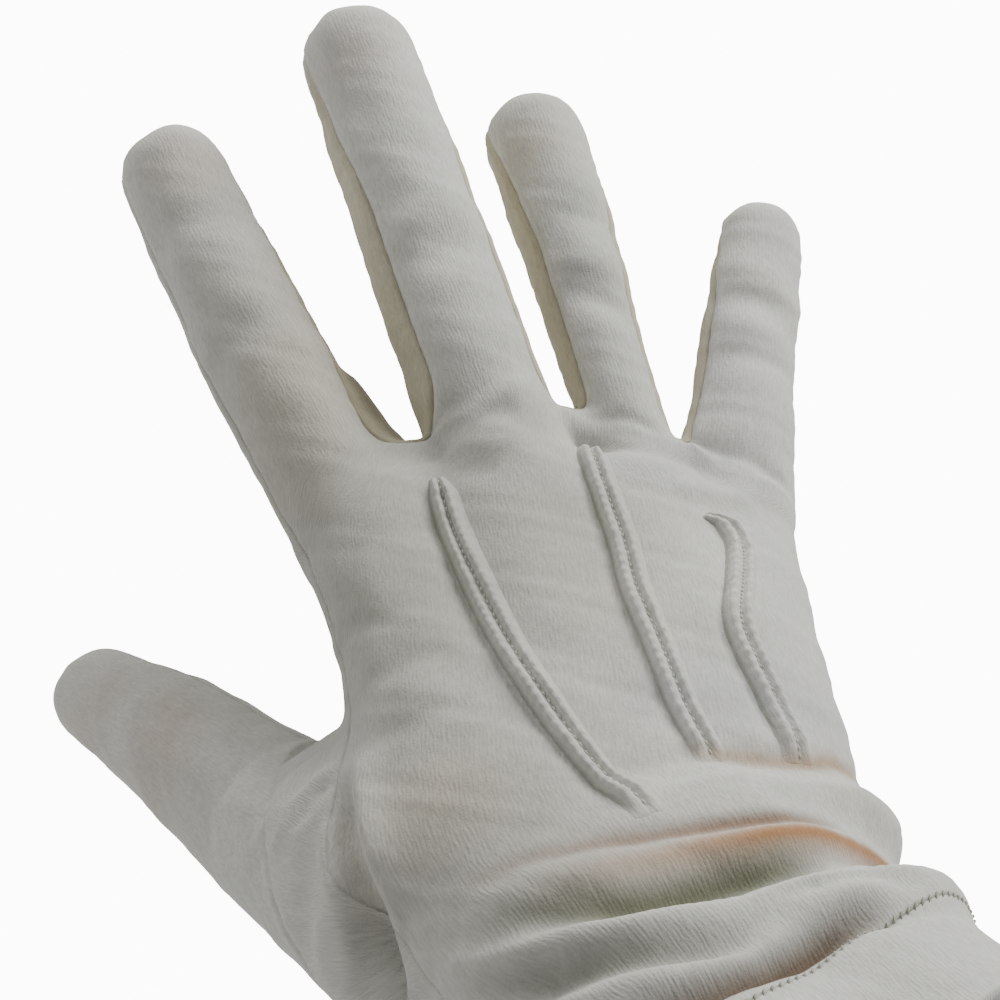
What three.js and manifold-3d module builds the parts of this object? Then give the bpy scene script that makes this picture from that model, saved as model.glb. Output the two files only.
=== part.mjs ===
// White parade glove for a right hand, with the form of the raised, spread hand that it is worn on.
// Millimetres. +Y runs along the forearm towards the fingers, +Z is the side of the back of the hand,
// +X is the side of the little finger. The origin is the centre of the wrist opening.
// The cloth surface is the zero level of a field round the bones of the hand. Each panel is a grid of rays
// from the bones to that level, so panels that share a seam share its line.

import * as THREE from 'three';
import { mergeVertices } from 'three/addons/utils/BufferGeometryUtils.js';
import Module from 'manifold-3d';

// Driving sizes of the hand that the glove is made for
const HAND_LENGTH = 190;
const HAND_BREADTH = 86;
const FINGER_THICKNESS = 22;
const PALM_THICKNESS = 27;

// Driving sizes of the glove
const CLOTH = 1.0;
const SEAM_GAP = 0.3;
const CUFF_LENGTH = 58;
const CUFF_BREADTH = 72;
const CUFF_DEPTH = 44;
const HEM_WIDTH = 20;
const HEM_THICKNESS = 2.0;
const HEM_SLANT = 0.32;
const POINT_WIDTH = 4.6;
const POINT_HEIGHT = 2.0;
const THUMB_FILLET = 2.5;
const BODY_FILLET = 4;
const WEB_FILLET = 0.6;
const WRIST_TAPER = 3;
const WRIST_BEND_LENGTH = 36;
const PALM_SPAN = 0.55 * HAND_LENGTH;

// Turns of the palm on the forearm, in degrees
const PALM_ROLL = -7;
const PALM_PITCH = 15;
const PALM_DEVIATION = 24;

// Grid steps
const COLUMNS_PER_FINGER = 5;
const STRIP_COLUMNS = 3;
const FINGER_ROWS = 14;
const PALM_ROWS = 17;
const CUFF_ROWS = 11;
const HEM_ROWS = 3;
const THUMB_COLUMNS = 16;
const THUMB_ROWS = 16;
const POINT_STEPS = 20;

const rad = THREE.MathUtils.degToRad;
const V = (x, y, z) => new THREE.Vector3(x, y, z);
const mix = (a, b, t) => a.clone().lerp(b, t);
const smooth = (t) => THREE.MathUtils.smoothstep(t, 0, 1);

// Palm frame: x across towards the little finger, y along towards the fingers, z out of the back of the hand
const wrist = V(0, CUFF_LENGTH, 0);
const palmTurn = new THREE.Matrix4()
  .makeRotationY(rad(PALM_ROLL))
  .multiply(new THREE.Matrix4().makeRotationX(rad(PALM_PITCH)))
  .multiply(new THREE.Matrix4().makeRotationZ(rad(-PALM_DEVIATION)));
const palmVector = (x, y, z) => V(x, y, z).applyMatrix4(palmTurn);
const palmPoint = (x, y, z) => palmVector(x, y, z).add(wrist);

// One row per finger. across is a share of the hand breadth, along and the bones are shares of the hand
// length, up is a share of the palm thickness, the four radii are shares of the finger thickness.
// splay, lift and curl are degrees, curl is the bend at the middle joint.
const FINGERS = [
  { name: 'index', across: -0.322, along: 0.469, up: -0.037, splay: -16.9, lift: 11.1, curl: -1.9,
    bones: [0.224, 0.128, 0.107], radii: [0.436, 0.476, 0.447, 0.426] },
  { name: 'middle', across: -0.017, along: 0.477, up: 0.074, splay: -10.2, lift: 17.4, curl: -0.7,
    bones: [0.25, 0.154, 0.12], radii: [0.496, 0.498, 0.482, 0.461] },
  { name: 'ring', across: 0.222, along: 0.443, up: 0.037, splay: -3.9, lift: 12.6, curl: 1.1,
    bones: [0.222, 0.141, 0.123], radii: [0.283, 0.342, 0.393, 0.411] },
  { name: 'little', across: 0.338, along: 0.409, up: -0.11, splay: 16.1, lift: 14.5, curl: 2.9,
    bones: [0.184, 0.105, 0.102], radii: [0.52, 0.381, 0.368, 0.332] },
];

// The thumb's three bones, from its root in the heel of the hand. spread and drop are degrees.
const THUMB = {
  across: -0.265, along: 0.098, up: -0.411,
  bones: [0.237, 0.179, 0.13], radii: [0.836, 0.61, 0.493, 0.383],
  spread: [26.3, 30.1, 31.3], drop: [25, 12, 18],
};

// Webs between neighbouring fingers: how far past the knuckles the cloth closes, as a share of hand length
const WEBS = [
  { name: 'index_middle', reach: 0.055, radius: 0.24 },
  { name: 'middle_ring', reach: 0.091, radius: 0.22 },
  { name: 'ring_little', reach: 0.073, radius: 0.28 },
];

// Bones and pads of the palm. across: share of breadth, along: share of hand length, up: share of palm
// thickness, radii: shares of palm thickness.
const PALM_MASSES = [
  { from: [-0.165, 0.02, 0], to: [-0.306, 0.469, -0.037], radii: [0.393, 0.371] },
  { from: [-0.05, 0.02, 0.02], to: [-0.017, 0.477, 0.074], radii: [0.4, 0.43] },
  { from: [0.06, 0.02, 0.02], to: [0.191, 0.443, 0.037], radii: [0.4, 0.42] },
  { from: [0.15, 0.02, 0], to: [0.338, 0.409, -0.11], radii: [0.38, 0.4] },
  { from: [0.286, -0.05, -0.15], to: [0.27, 0.25, -0.2], radii: [0.487, 0.544] },
  { from: [-0.13, 0.05, -0.25], to: [-0.259, 0.15, -0.42], radii: [0.55, 0.514] },
  { from: [-0.253, 0.195, -0.204], to: [-0.385, 0.259, -0.8], radii: [0.312, 0.353] },
  { from: [-0.358, 0.63, 0.026], to: [-0.191, 0.485, -0.006], radii: [0.309, 0.176] },
  { from: [0.21, 0.29, -0.125], to: [0.335, 0.342, -0.123], radii: [0.321, 0.267] },
];

const SEAM_ANGLE = 56;
const WEB_SEAM_ANGLE = 40;

// The thumb's seam lies in a plane: its distance from the thumb's root as a share of hand length, and its
// tilt in degrees, which carries it up towards the web of the thumb
const THUMB_SEAM = { at: 0.137, tilt: 48 };

// Field of a rounded cone: below zero inside it
function coneField(p, cone) {
  const h = THREE.MathUtils.clamp(p.clone().sub(cone.a).dot(cone.axis) / cone.span, 0, 1);
  return p.distanceTo(cone.a.clone().addScaledVector(cone.axis, h)) - THREE.MathUtils.lerp(cone.ra, cone.rb, h);
}

function makeCone(a, b, ra, rb) {
  const axis = b.clone().sub(a);
  return { a, b, ra, rb, axis, span: axis.lengthSq() };
}

// Rounded minimum of several fields, order-free: blend is the width of the fillet
function softMin(values, blend) {
  const low = Math.min(...values);
  let sum = 0;
  for (const value of values) sum += Math.exp((low - value) / blend);
  return low - blend * Math.log(sum);
}

// A finger as a chain of joints with the frame that its rings are drawn in. Its end joint bends less than
// its middle one.
const END_CURL = 1.6;
function fingerChain(row) {
  const joints = [palmPoint(row.across * HAND_BREADTH, row.along * HAND_LENGTH, row.up * PALM_THICKNESS)];
  const lifts = [row.lift, row.lift - row.curl, row.lift - END_CURL * row.curl];
  const sn = Math.sin(rad(row.splay));
  const cs = Math.cos(rad(row.splay));
  for (let k = 0; k < 3; k += 1) {
    const flat = Math.cos(rad(lifts[k]));
    const step = palmVector(sn * flat, cs * flat, Math.sin(rad(lifts[k]))).multiplyScalar(row.bones[k] * HAND_LENGTH);
    joints.push(joints[k].clone().add(step));
  }
  return makeChain(joints, row.radii.map((r) => r * FINGER_THICKNESS), palmVector(cs, -sn, 0));
}

function thumbChain(row) {
  const joints = [palmPoint(row.across * HAND_BREADTH, row.along * HAND_LENGTH, row.up * PALM_THICKNESS)];
  for (let k = 0; k < 3; k += 1) {
    const spread = rad(row.spread[k]);
    const drop = rad(row.drop[k]);
    const step = palmVector(-Math.sin(spread) * Math.cos(drop), Math.cos(spread) * Math.cos(drop), -Math.sin(drop));
    joints.push(joints[k].clone().addScaledVector(step, row.bones[k] * HAND_LENGTH));
  }
  return makeChain(joints, row.radii.map((r) => r * FINGER_THICKNESS), palmVector(1, 1, -1));
}

function makeChain(joints, radii, side) {
  const cones = [0, 1, 2].map((k) => makeCone(joints[k], joints[k + 1], radii[k], radii[k + 1]));
  const lengths = cones.map((cone) => Math.sqrt(cone.span));
  const heads = cones.map((cone) => cone.axis.clone().normalize());
  return { joints, radii, cones, lengths, heads, total: lengths[0] + lengths[1] + lengths[2], side };
}

// Point on the bones of a chain at a distance from its first joint, with the unit directions of its ring
function chainFrame(chain, distance) {
  let rest = distance;
  let k = 0;
  while (k < 2 && rest > chain.lengths[k]) {
    rest -= chain.lengths[k];
    k += 1;
  }
  const centre = chain.joints[k].clone().addScaledVector(chain.cones[k].axis, rest / chain.lengths[k]);
  const share = rest / chain.lengths[k] - 0.5;
  const other = THREE.MathUtils.clamp(share > 0 ? k + 1 : k - 1, 0, 2);
  const ahead = mix(chain.heads[k], chain.heads[other], Math.min(0.5, Math.abs(share))).normalize();
  const side = chain.side.clone().addScaledVector(ahead, -chain.side.dot(ahead)).normalize();
  return { centre, ahead, side, up: side.clone().cross(ahead) };
}

const fingers = FINGERS.map(fingerChain);
const thumb = thumbChain(THUMB);
const chainField = (p, chain) => Math.min(...chain.cones.map((cone) => coneField(p, cone)));

// The web between two fingers: a short bar across the gap, with its own up and ahead directions
const webs = WEBS.map((row, k) => {
  const reach = row.reach * HAND_LENGTH;
  const left = chainFrame(fingers[k], reach);
  const right = chainFrame(fingers[k + 1], reach);
  const centre = mix(left.centre, right.centre, 0.5);
  const ahead = left.ahead.clone().add(right.ahead).normalize();
  const side = right.centre.clone().sub(left.centre);
  side.addScaledVector(ahead, -side.dot(ahead)).normalize();
  const radius = row.radius * FINGER_THICKNESS;
  return { centre, ahead, up: side.clone().cross(ahead), reach,
    cone: makeCone(left.centre, right.centre, radius, radius) };
});

const palmCones = PALM_MASSES.map((row) => makeCone(
  palmPoint(row.from[0] * HAND_BREADTH, row.from[1] * HAND_LENGTH, row.from[2] * PALM_THICKNESS),
  palmPoint(row.to[0] * HAND_BREADTH, row.to[1] * HAND_LENGTH, row.to[2] * PALM_THICKNESS),
  row.radii[0] * PALM_THICKNESS,
  row.radii[1] * PALM_THICKNESS,
));
const cuffOffset = (CUFF_BREADTH - CUFF_DEPTH) / 2;
const cuffRadius = CUFF_DEPTH / 2 - BODY_FILLET / 4;
const cuffCones = [-1, 1].map((s) => makeCone(
  V(s * cuffOffset, -CUFF_LENGTH, 0),
  V(s * (cuffOffset - WRIST_TAPER), CUFF_LENGTH - 2 * BODY_FILLET, 0),
  cuffRadius,
  cuffRadius - WRIST_TAPER,
));
const bodyCones = [...palmCones, ...cuffCones];

// Plane of the thumb's seam, facing the thumb's tip
const thumbAxis = thumb.heads[0];
const seamCentre = thumb.joints[0].clone().addScaledVector(thumbAxis, THUMB_SEAM.at * HAND_LENGTH);
const towardsWeb = palmPoint(-0.2 * HAND_BREADTH, 0.25 * HAND_LENGTH, 0).sub(seamCentre);
towardsWeb.addScaledVector(thumbAxis, -towardsWeb.dot(thumbAxis)).normalize();
const seamFacing = thumbAxis.clone().multiplyScalar(Math.cos(rad(THUMB_SEAM.tilt)))
  .addScaledVector(towardsWeb, -Math.sin(rad(THUMB_SEAM.tilt)));
const pastSeam = (p) => p.clone().sub(seamCentre).dot(seamFacing);

// The palm and fingers, the whole hand, and the hand with its thumb cut short just past the seam
function palmField(p) {
  const body = softMin(bodyCones.map((cone) => coneField(p, cone)), BODY_FILLET);
  const digits = fingers.map((chain) => chainField(p, chain));
  const bridges = webs.map((web) => coneField(p, web.cone));
  return softMin([body, ...digits, ...bridges], WEB_FILLET);
}
const wholeField = (p) => softMin([palmField(p), chainField(p, thumb)], THUMB_FILLET);
const handField = (p) => {
  const stump = Math.max(chainField(p, thumb), pastSeam(p) - THUMB_FILLET * 2);
  return softMin([palmField(p), stump], THUMB_FILLET);
};

// First point along a ray from the bones where the field is zero
function castRay(from, direction, field) {
  const way = direction.clone().normalize();
  const p = from.clone();
  for (let step = 0; step < 60; step += 1) {
    const value = field(p);
    p.addScaledVector(way, -value * 0.92);
    if (Math.abs(value) < 1e-4) break;
  }
  return p;
}

function fieldNormal(p, field) {
  const e = 0.05;
  return V(
    field(V(p.x + e, p.y, p.z)) - field(V(p.x - e, p.y, p.z)),
    field(V(p.x, p.y + e, p.z)) - field(V(p.x, p.y - e, p.z)),
    field(V(p.x, p.y, p.z + e)) - field(V(p.x, p.y, p.z - e)),
  ).normalize();
}

// Ray of the cuff and palm. face is 1 for the back and -1 for the palm side, across runs from 0 at the
// index side seam to 1 at the little finger side seam, along is in mm: below zero in the cuff, to
// the hem at -CUFF_LENGTH, and above zero a share of the palm up to 1 at the finger bases.
const KNEE_PULL = 0.6;
function handRay(face, across, along) {
  const turn = rad((across - 0.5) * 180);
  const sn = Math.sin(turn);
  const cs = Math.cos(turn) * face;
  const inCuff = (distance) => ({
    from: V(cuffOffset * sn, CUFF_LENGTH - distance + HEM_SLANT * CUFF_BREADTH / 2 * sn
      * smooth(distance / CUFF_LENGTH), 0),
    way: V(sn, 0, cs),
  });
  const atWrist = { from: palmPoint(cuffOffset * sn, 0, 0), way: palmVector(sn, 0, cs) };
  const atBase = baseRay(face, across, 0);
  const inPalm = (share) => ({
    from: mix(atWrist.from, atBase.from, share),
    way: mix(atWrist.way, atBase.way, smooth(share)).normalize(),
  });
  const bend = WRIST_BEND_LENGTH / 2;
  const length = atWrist.from.distanceTo(atBase.from);
  const at = along > 0 ? along * length : along;
  if (at < -bend) return inCuff(-at);
  if (at > bend) return inPalm(at / length);
  const low = inCuff(bend);
  const high = inPalm(bend / length);
  const t = (at + bend) / WRIST_BEND_LENGTH;
  const knee = mix(low.from, high.from, 0.5).lerp(atWrist.from, KNEE_PULL);
  return {
    from: mix(mix(low.from, knee, t), mix(knee, high.from, t), t),
    way: mix(low.way, high.way, smooth(t)).normalize(),
  };
}

// How much a point near the corner between two fingers is drawn to the web, by its share across the finger
// and its distance past the base line
const CORNER_BREADTH = 0.32;
const CORNER_LENGTH = 0.07 * HAND_LENGTH;
const cornerPull = (acrossShare, above) => {
  const away = Math.hypot(acrossShare / CORNER_BREADTH, above / CORNER_LENGTH);
  return 1 - smooth(away);
};

// Distance from the knuckle at which the panels of a finger start, on its left and right side. The outer
// sides of the hand take a share of the nearest web's.
const OUTER_REACH = 0.8;
function baseDistance(k, c) {
  const left = k > 0 ? webs[k - 1].reach : webs[0].reach * OUTER_REACH;
  const right = k < 3 ? webs[k].reach : webs[2].reach * OUTER_REACH;
  return THREE.MathUtils.lerp(left, right, smooth(c));
}

// Seam angle from the middle of the back or palm side of a finger. Outer sides have no strip. Past a share
// of the finger the strip narrows, and at the tip the two seams meet.
const STRIP_NARROWS = 0.45;
function seamAngle(k, c, above) {
  const span = fingers[k].total;
  const outer = (k === 0 && c < 0.5) || (k === 3 && c > 0.5);
  if (outer) return 90;
  return THREE.MathUtils.lerp(SEAM_ANGLE, 90, smooth((above / span - STRIP_NARROWS) / (1 - STRIP_NARROWS)));
}

// Ray of a finger's back or palm side. above is the distance past the finger's base in mm.
function fingerRay(face, k, c, above) {
  const chain = fingers[k];
  const base = baseDistance(k, c);
  const reach = base + above;
  const inside = Math.min(reach, chain.total);
  const ring = chainFrame(chain, inside);
  const angle = rad(THREE.MathUtils.lerp(-seamAngle(k, 0, above), seamAngle(k, 1, above), c));
  const way = ring.side.clone().multiplyScalar(Math.sin(angle)).addScaledVector(ring.up, Math.cos(angle) * face);
  const cap = Math.max(0, reach - chain.total) / chain.radii[3];
  const tilt = Math.min(cap, 1) * Math.PI / 2;
  way.multiplyScalar(Math.cos(tilt)).addScaledVector(ring.ahead, Math.sin(tilt));
  return { from: ring.centre, way };
}

// Ray of the web between two fingers, for an angle from its up direction over the front edge
function webRay(k, angle) {
  const web = webs[k];
  return {
    from: web.centre.clone(),
    way: web.up.clone().multiplyScalar(Math.cos(angle)).addScaledVector(web.ahead, Math.sin(angle)),
  };
}

function pullToWeb(ray, k, angle, pull) {
  const corner = webRay(k, angle);
  return { from: mix(ray.from, corner.from, pull), way: mix(ray.way, corner.way, pull).normalize() };
}

// Back or palm side of the digits from the base line upwards. across runs over the four fingers.
function baseRay(face, across, above) {
  const place = THREE.MathUtils.clamp(across, 0, 1) * 4;
  const k = Math.min(3, Math.floor(place));
  return digitRay(face, k, place - k, above);
}

function digitRay(face, k, c, above) {
  let ray = fingerRay(face, k, c, above);
  const webAngle = face > 0 ? rad(WEB_SEAM_ANGLE) : rad(180 - WEB_SEAM_ANGLE);
  if (k > 0) ray = pullToWeb(ray, k - 1, webAngle, cornerPull(c, above));
  if (k < 3) ray = pullToWeb(ray, k, webAngle, cornerPull(1 - c, above));
  return ray;
}

// Ray of the strip between two fingers. sideOf is 0 for the left finger and 1 for the right one.
function stripRay(k, sideOf, t, above) {
  const finger = k + sideOf;
  const c = sideOf ? 0 : 1;
  const ring = fingerRay(1, finger, c, above);
  const frame = chainFrame(fingers[finger], Math.min(baseDistance(finger, c) + above, fingers[finger].total));
  const seam = seamAngle(finger, c, above);
  const angle = rad(THREE.MathUtils.lerp(seam, 180 - seam, t));
  const out = frame.side.clone().multiplyScalar(sideOf ? -1 : 1);
  const way = out.multiplyScalar(Math.sin(angle)).addScaledVector(frame.up, Math.cos(angle));
  const webAngle = rad(THREE.MathUtils.lerp(WEB_SEAM_ANGLE, 180 - WEB_SEAM_ANGLE, t));
  return pullToWeb({ from: ring.from, way }, k, webAngle, cornerPull(0, above));
}

// Length of a finger from its base line to the pole of its tip
const fingerSpan = (k, c) => fingers[k].total + fingers[k].radii[3] - baseDistance(k, c);

// Folds of the wrist, cuff and palm. One row per fold: a line from one place to another. around is 0 at the
// index side seam, 1 at the little finger side seam and 2 at the index side seam again, round by the back
// first. along is a share of the palm span past the wrist, and below zero a share of the cuff length
// towards the hem. width is a share of the cuff length, depth of the finger thickness: below zero, a valley.
const FOLDS = [
  { around: [0.5, 0.95], along: [0.19, 0.26], width: 0.07, depth: -0.08 },
  { around: [0.45, 1.15], along: [0.1, 0.12], width: 0.09, depth: 0.17 },
  { around: [0.36, 0.7], along: [0.03, -0.1], width: 0.06, depth: -0.08 },
  { around: [0.55, 1.12], along: [-0.1, 0.03], width: 0.08, depth: 0.24 },
  { around: [0.28, 0.5], along: [-0.18, -0.26], width: 0.07, depth: -0.1 },
  { around: [0.5, 1.0], along: [-0.27, -0.17], width: 0.07, depth: -0.15 },
  { around: [0.08, 0.6], along: [-0.02, -0.4], width: 0.08, depth: 0.09 },
  { around: [0.6, 1.15], along: [-0.42, -0.24], width: 0.1, depth: 0.33 },
  { around: [0.22, 0.45], along: [-0.3, -0.43], width: 0.06, depth: -0.07 },
  { around: [0.3, 0.62], along: [-0.58, -0.56], width: 0.07, depth: -0.09 },
  { around: [1.12, 1.6], along: [-0.28, -0.2], width: 0.08, depth: -0.1 },
  { around: [1.1, 1.5], along: [-0.1, 0.02], width: 0.08, depth: 0.1 },
  { around: [1.3, 1.75], along: [-0.5, -0.42], width: 0.09, depth: 0.12 },
  { around: [1.7, 2.15], along: [-0.22, -0.3], width: 0.08, depth: 0.1 },
  { around: [-0.25, 0.1], along: [-0.45, -0.5], width: 0.07, depth: -0.08 },
];
const foldPlace = (along) => along * (along > 0 ? PALM_SPAN : CUFF_LENGTH);

function foldOffset(around, along) {
  const place = along > 0 ? along * PALM_SPAN : along;
  let offset = 0;
  for (const fold of FOLDS) {
    const start = foldPlace(fold.along[0]);
    const rise = foldPlace(fold.along[1]) - start;
    const run = (fold.around[1] - fold.around[0]) * CUFF_BREADTH;
    for (const lap of [-2, 0, 2]) {
      const dx = (around + lap - fold.around[0]) * CUFF_BREADTH;
      const dy = place - start;
      const h = THREE.MathUtils.clamp((dx * run + dy * rise) / (run * run + rise * rise), 0, 1);
      const away = Math.hypot(dx - h * run, dy - h * rise) / (fold.width * CUFF_LENGTH);
      offset += fold.depth * FINGER_THICKNESS * Math.exp(-away * away);
    }
  }
  return offset;
}

// A vertex of the outer surface, with the inner one a cloth thickness below it
function clothVertex(ray, offset, field, wall) {
  const outer = castRay(ray.from, ray.way, field);
  const normal = fieldNormal(outer, field);
  outer.addScaledVector(normal, offset);
  return { outer, inner: outer.clone().addScaledVector(normal, -wall) };
}

function handVertex(face, across, along, wall = CLOTH) {
  const around = face > 0 ? across : 2 - across;
  return clothVertex(handRay(face, across, along), foldOffset(around, along), handField, wall);
}

// Dents over the finger joints. One row per dent: finger, place on the finger from its base line as a share
// of its span, slope of the dent across the finger, width as a share of the span, depth of the thickness.
const DENTS = [
  { finger: 0, at: 0.36, slope: 0.04, width: 0.05, depth: -0.035 },
  { finger: 0, at: 0.68, slope: -0.03, width: 0.05, depth: -0.03 },
  { finger: 1, at: 0.05, slope: 0.05, width: 0.05, depth: -0.05 },
  { finger: 1, at: 0.34, slope: -0.05, width: 0.05, depth: -0.05 },
  { finger: 1, at: 0.43, slope: 0.03, width: 0.04, depth: 0.03 },
  { finger: 2, at: 0.34, slope: -0.06, width: 0.05, depth: -0.06 },
  { finger: 2, at: 0.44, slope: 0.02, width: 0.045, depth: 0.035 },
  { finger: 2, at: 0.56, slope: 0.05, width: 0.05, depth: -0.05 },
  { finger: 3, at: 0.02, slope: -0.05, width: 0.06, depth: -0.07 },
  { finger: 3, at: 0.38, slope: 0.03, width: 0.06, depth: -0.05 },
  { finger: 3, at: 0.56, slope: -0.03, width: 0.06, depth: -0.05 },
];

function dentOffset(face, k, c, above) {
  if (face < 0) return 0;
  const place = above / fingerSpan(k, c);
  let offset = 0;
  for (const dent of DENTS) {
    if (dent.finger !== k) continue;
    const away = (place - dent.at - dent.slope * (c - 0.5)) / dent.width;
    offset += dent.depth * FINGER_THICKNESS * Math.exp(-away * away);
  }
  return offset * Math.sin(Math.PI * c) * smooth(place / 0.05);
}

const digitVertex = (face, k, c, above) => (
  clothVertex(digitRay(face, k, c, above), dentOffset(face, k, c, above), handField, CLOTH)
);
const stripVertex = (k, sideOf, t, above) => clothVertex(stripRay(k, sideOf, t, above), 0, handField, CLOTH);

// Mesh builder: outer and inner grids joined by a rim along every open edge
class Cloth {
  constructor() {
    this.vertices = [];
    this.faces = [];
  }

  add(vertex) {
    this.vertices.push(vertex);
    return this.vertices.length - 1;
  }

  quad(a, b, c, d) {
    const loop = [a, b, c, d].filter((v, i, all) => v !== all[(i + 1) % 4]);
    this.faces.push([loop[0], loop[1], loop[2]]);
    if (loop.length === 4) this.faces.push([loop[0], loop[2], loop[3]]);
  }

  grid(rows, flip) {
    for (let i = 0; i + 1 < rows.length; i += 1) {
      for (let j = 0; j + 1 < rows[i].length; j += 1) {
        const [a, b, c, d] = [rows[i][j], rows[i][j + 1], rows[i + 1][j + 1], rows[i + 1][j]];
        if (flip) this.quad(a, d, c, b);
        else this.quad(a, b, c, d);
      }
    }
  }

  // Open edges, each with the face on its left
  rim() {
    const seen = new Set();
    for (const [a, b, c] of this.faces) {
      for (const [p, q] of [[a, b], [b, c], [c, a]]) seen.add(`${p} ${q}`);
    }
    const open = [];
    for (const edge of seen) {
      const [p, q] = edge.split(' ').map(Number);
      if (!seen.has(`${q} ${p}`)) open.push([p, q]);
    }
    return open;
  }

  // Draws the open edges back from the seam line by half of the seam gap
  trim(distance) {
    const open = this.rim();
    const moves = new Map();
    for (const [p, q] of open) {
      for (const v of [p, q]) {
        const start = this.vertices[v].outer;
        const normal = start.clone().sub(this.vertices[v].inner).normalize();
        const edge = this.vertices[q].outer.clone().sub(this.vertices[p].outer);
        const inward = normal.clone().cross(edge).normalize();
        if (!moves.has(v)) moves.set(v, []);
        moves.get(v).push(inward);
      }
    }
    for (const [v, list] of moves) {
      const move = list.reduce((sum, step) => sum.add(step), V(0, 0, 0)).normalize();
      const least = Math.max(0.5, Math.min(...list.map((step) => step.dot(move))));
      const shift = distance / least;
      this.vertices[v].outer.addScaledVector(move, shift);
      this.vertices[v].inner.addScaledVector(move, shift);
    }
  }

  geometry() {
    const count = this.vertices.length;
    const points = [...this.vertices.map((v) => v.outer), ...this.vertices.map((v) => v.inner)];
    const index = [];
    for (const [a, b, c] of this.faces) index.push(a, b, c, a + count, c + count, b + count);
    for (const [p, q] of this.rim()) index.push(q, p, p + count, q, p + count, q + count);
    const geometry = new THREE.BufferGeometry();
    geometry.setAttribute('position', new THREE.Float32BufferAttribute(points.flatMap((p) => [p.x, p.y, p.z]), 3));
    geometry.setIndex(index);
    return geometry;
  }
}

const steps = (count) => Array.from({ length: count + 1 }, (_, i) => i / count);

// Back or palm panel: the cuff above the hem, the palm and one side of the four fingers in one piece of cloth
const hemLine = -(CUFF_LENGTH - HEM_WIDTH);
function panelCloth(face) {
  const cloth = new Cloth();
  const acrossSteps = steps(4 * COLUMNS_PER_FINGER);
  const alongSteps = [
    ...steps(CUFF_ROWS).slice(0, -1).map((t) => hemLine * (1 - t)),
    ...steps(PALM_ROWS),
  ];
  const rows = alongSteps.map((along) => acrossSteps.map((across) => cloth.add(handVertex(face, across, along))));
  const flip = face < 0;
  cloth.grid(rows, flip);
  const base = rows[rows.length - 1];
  for (let k = 0; k < 4; k += 1) {
    const first = k * COLUMNS_PER_FINGER;
    const fingerRows = [base.slice(first, first + COLUMNS_PER_FINGER + 1)];
    for (const t of steps(FINGER_ROWS).slice(1, -1)) {
      fingerRows.push(steps(COLUMNS_PER_FINGER).map((c) => cloth.add(digitVertex(face, k, c, fingerSpan(k, c) * t))));
    }
    const pole = cloth.add(digitVertex(face, k, 0.5, fingerSpan(k, 0.5)));
    fingerRows.push(steps(COLUMNS_PER_FINGER).map(() => pole));
    cloth.grid(fingerRows, flip);
  }
  cloth.trim(SEAM_GAP / 2);
  return cloth;
}

// Strip between two fingers: up the inner side of one, over the web and up the next
const STRIP_END = FINGER_ROWS - 2;
function stripCloth(k) {
  const cloth = new Cloth();
  const rows = [];
  const shares = steps(FINGER_ROWS);
  for (let i = STRIP_END; i > 0; i -= 1) {
    rows.push(steps(STRIP_COLUMNS).map((t) => cloth.add(stripVertex(k, 0, t, fingerSpan(k, 1) * shares[i]))));
  }
  for (let i = 0; i <= STRIP_END; i += 1) {
    rows.push(steps(STRIP_COLUMNS).map((t) => cloth.add(stripVertex(k, 1, t, fingerSpan(k + 1, 0) * shares[i]))));
  }
  cloth.grid(rows, true);
  cloth.trim(SEAM_GAP / 2);
  return cloth;
}

// Ray of the thumb: turn goes once round it, reach is the distance from its root
function thumbRay(turn, reach) {
  const ring = chainFrame(thumb, Math.min(reach, thumb.total));
  const angle = turn * 2 * Math.PI;
  const way = ring.side.clone().multiplyScalar(Math.sin(angle)).addScaledVector(ring.up, Math.cos(angle));
  const cap = Math.max(0, reach - thumb.total) / thumb.radii[3];
  const tilt = Math.min(cap, 1) * Math.PI / 2;
  way.multiplyScalar(Math.cos(tilt)).addScaledVector(ring.ahead, Math.sin(tilt));
  return { from: ring.centre, way };
}

function thumbVertex(turn, reach, grow = 0) {
  const ray = thumbRay(turn, reach);
  return clothVertex(ray, grow, wholeField, CLOTH);
}

// Distance from the thumb's root at which a line along the thumb crosses a plane beside the seam's
function thumbStart(turn, offset, grow) {
  let low = 0;
  let high = thumb.total;
  for (let i = 0; i < 30; i += 1) {
    const middle = (low + high) / 2;
    if (pastSeam(thumbVertex(turn, middle, grow).outer) > offset) high = middle;
    else low = middle;
  }
  return high;
}

const thumbSpan = thumb.total + thumb.radii[3];
const thumbTurns = steps(THUMB_COLUMNS).slice(0, -1);
function thumbCloth() {
  const cloth = new Cloth();
  const starts = thumbTurns.map((turn) => thumbStart(turn, SEAM_GAP / 2, 0));
  const rows = steps(THUMB_ROWS).slice(0, -1).map((t) => thumbTurns.map((turn, j) => (
    cloth.add(thumbVertex(turn, THREE.MathUtils.lerp(starts[j], thumbSpan, t)))
  )));
  for (const v of rows[0]) {
    const { inner } = cloth.vertices[v];
    inner.addScaledVector(thumbAxis, (SEAM_GAP / 2 - pastSeam(inner)) / thumbAxis.dot(seamFacing));
  }
  const pole = cloth.add(thumbVertex(0, thumbSpan));
  rows.push(thumbTurns.map(() => pole));
  cloth.grid(rows.map((row) => [...row, row[0]]), false);
  return cloth;
}

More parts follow.
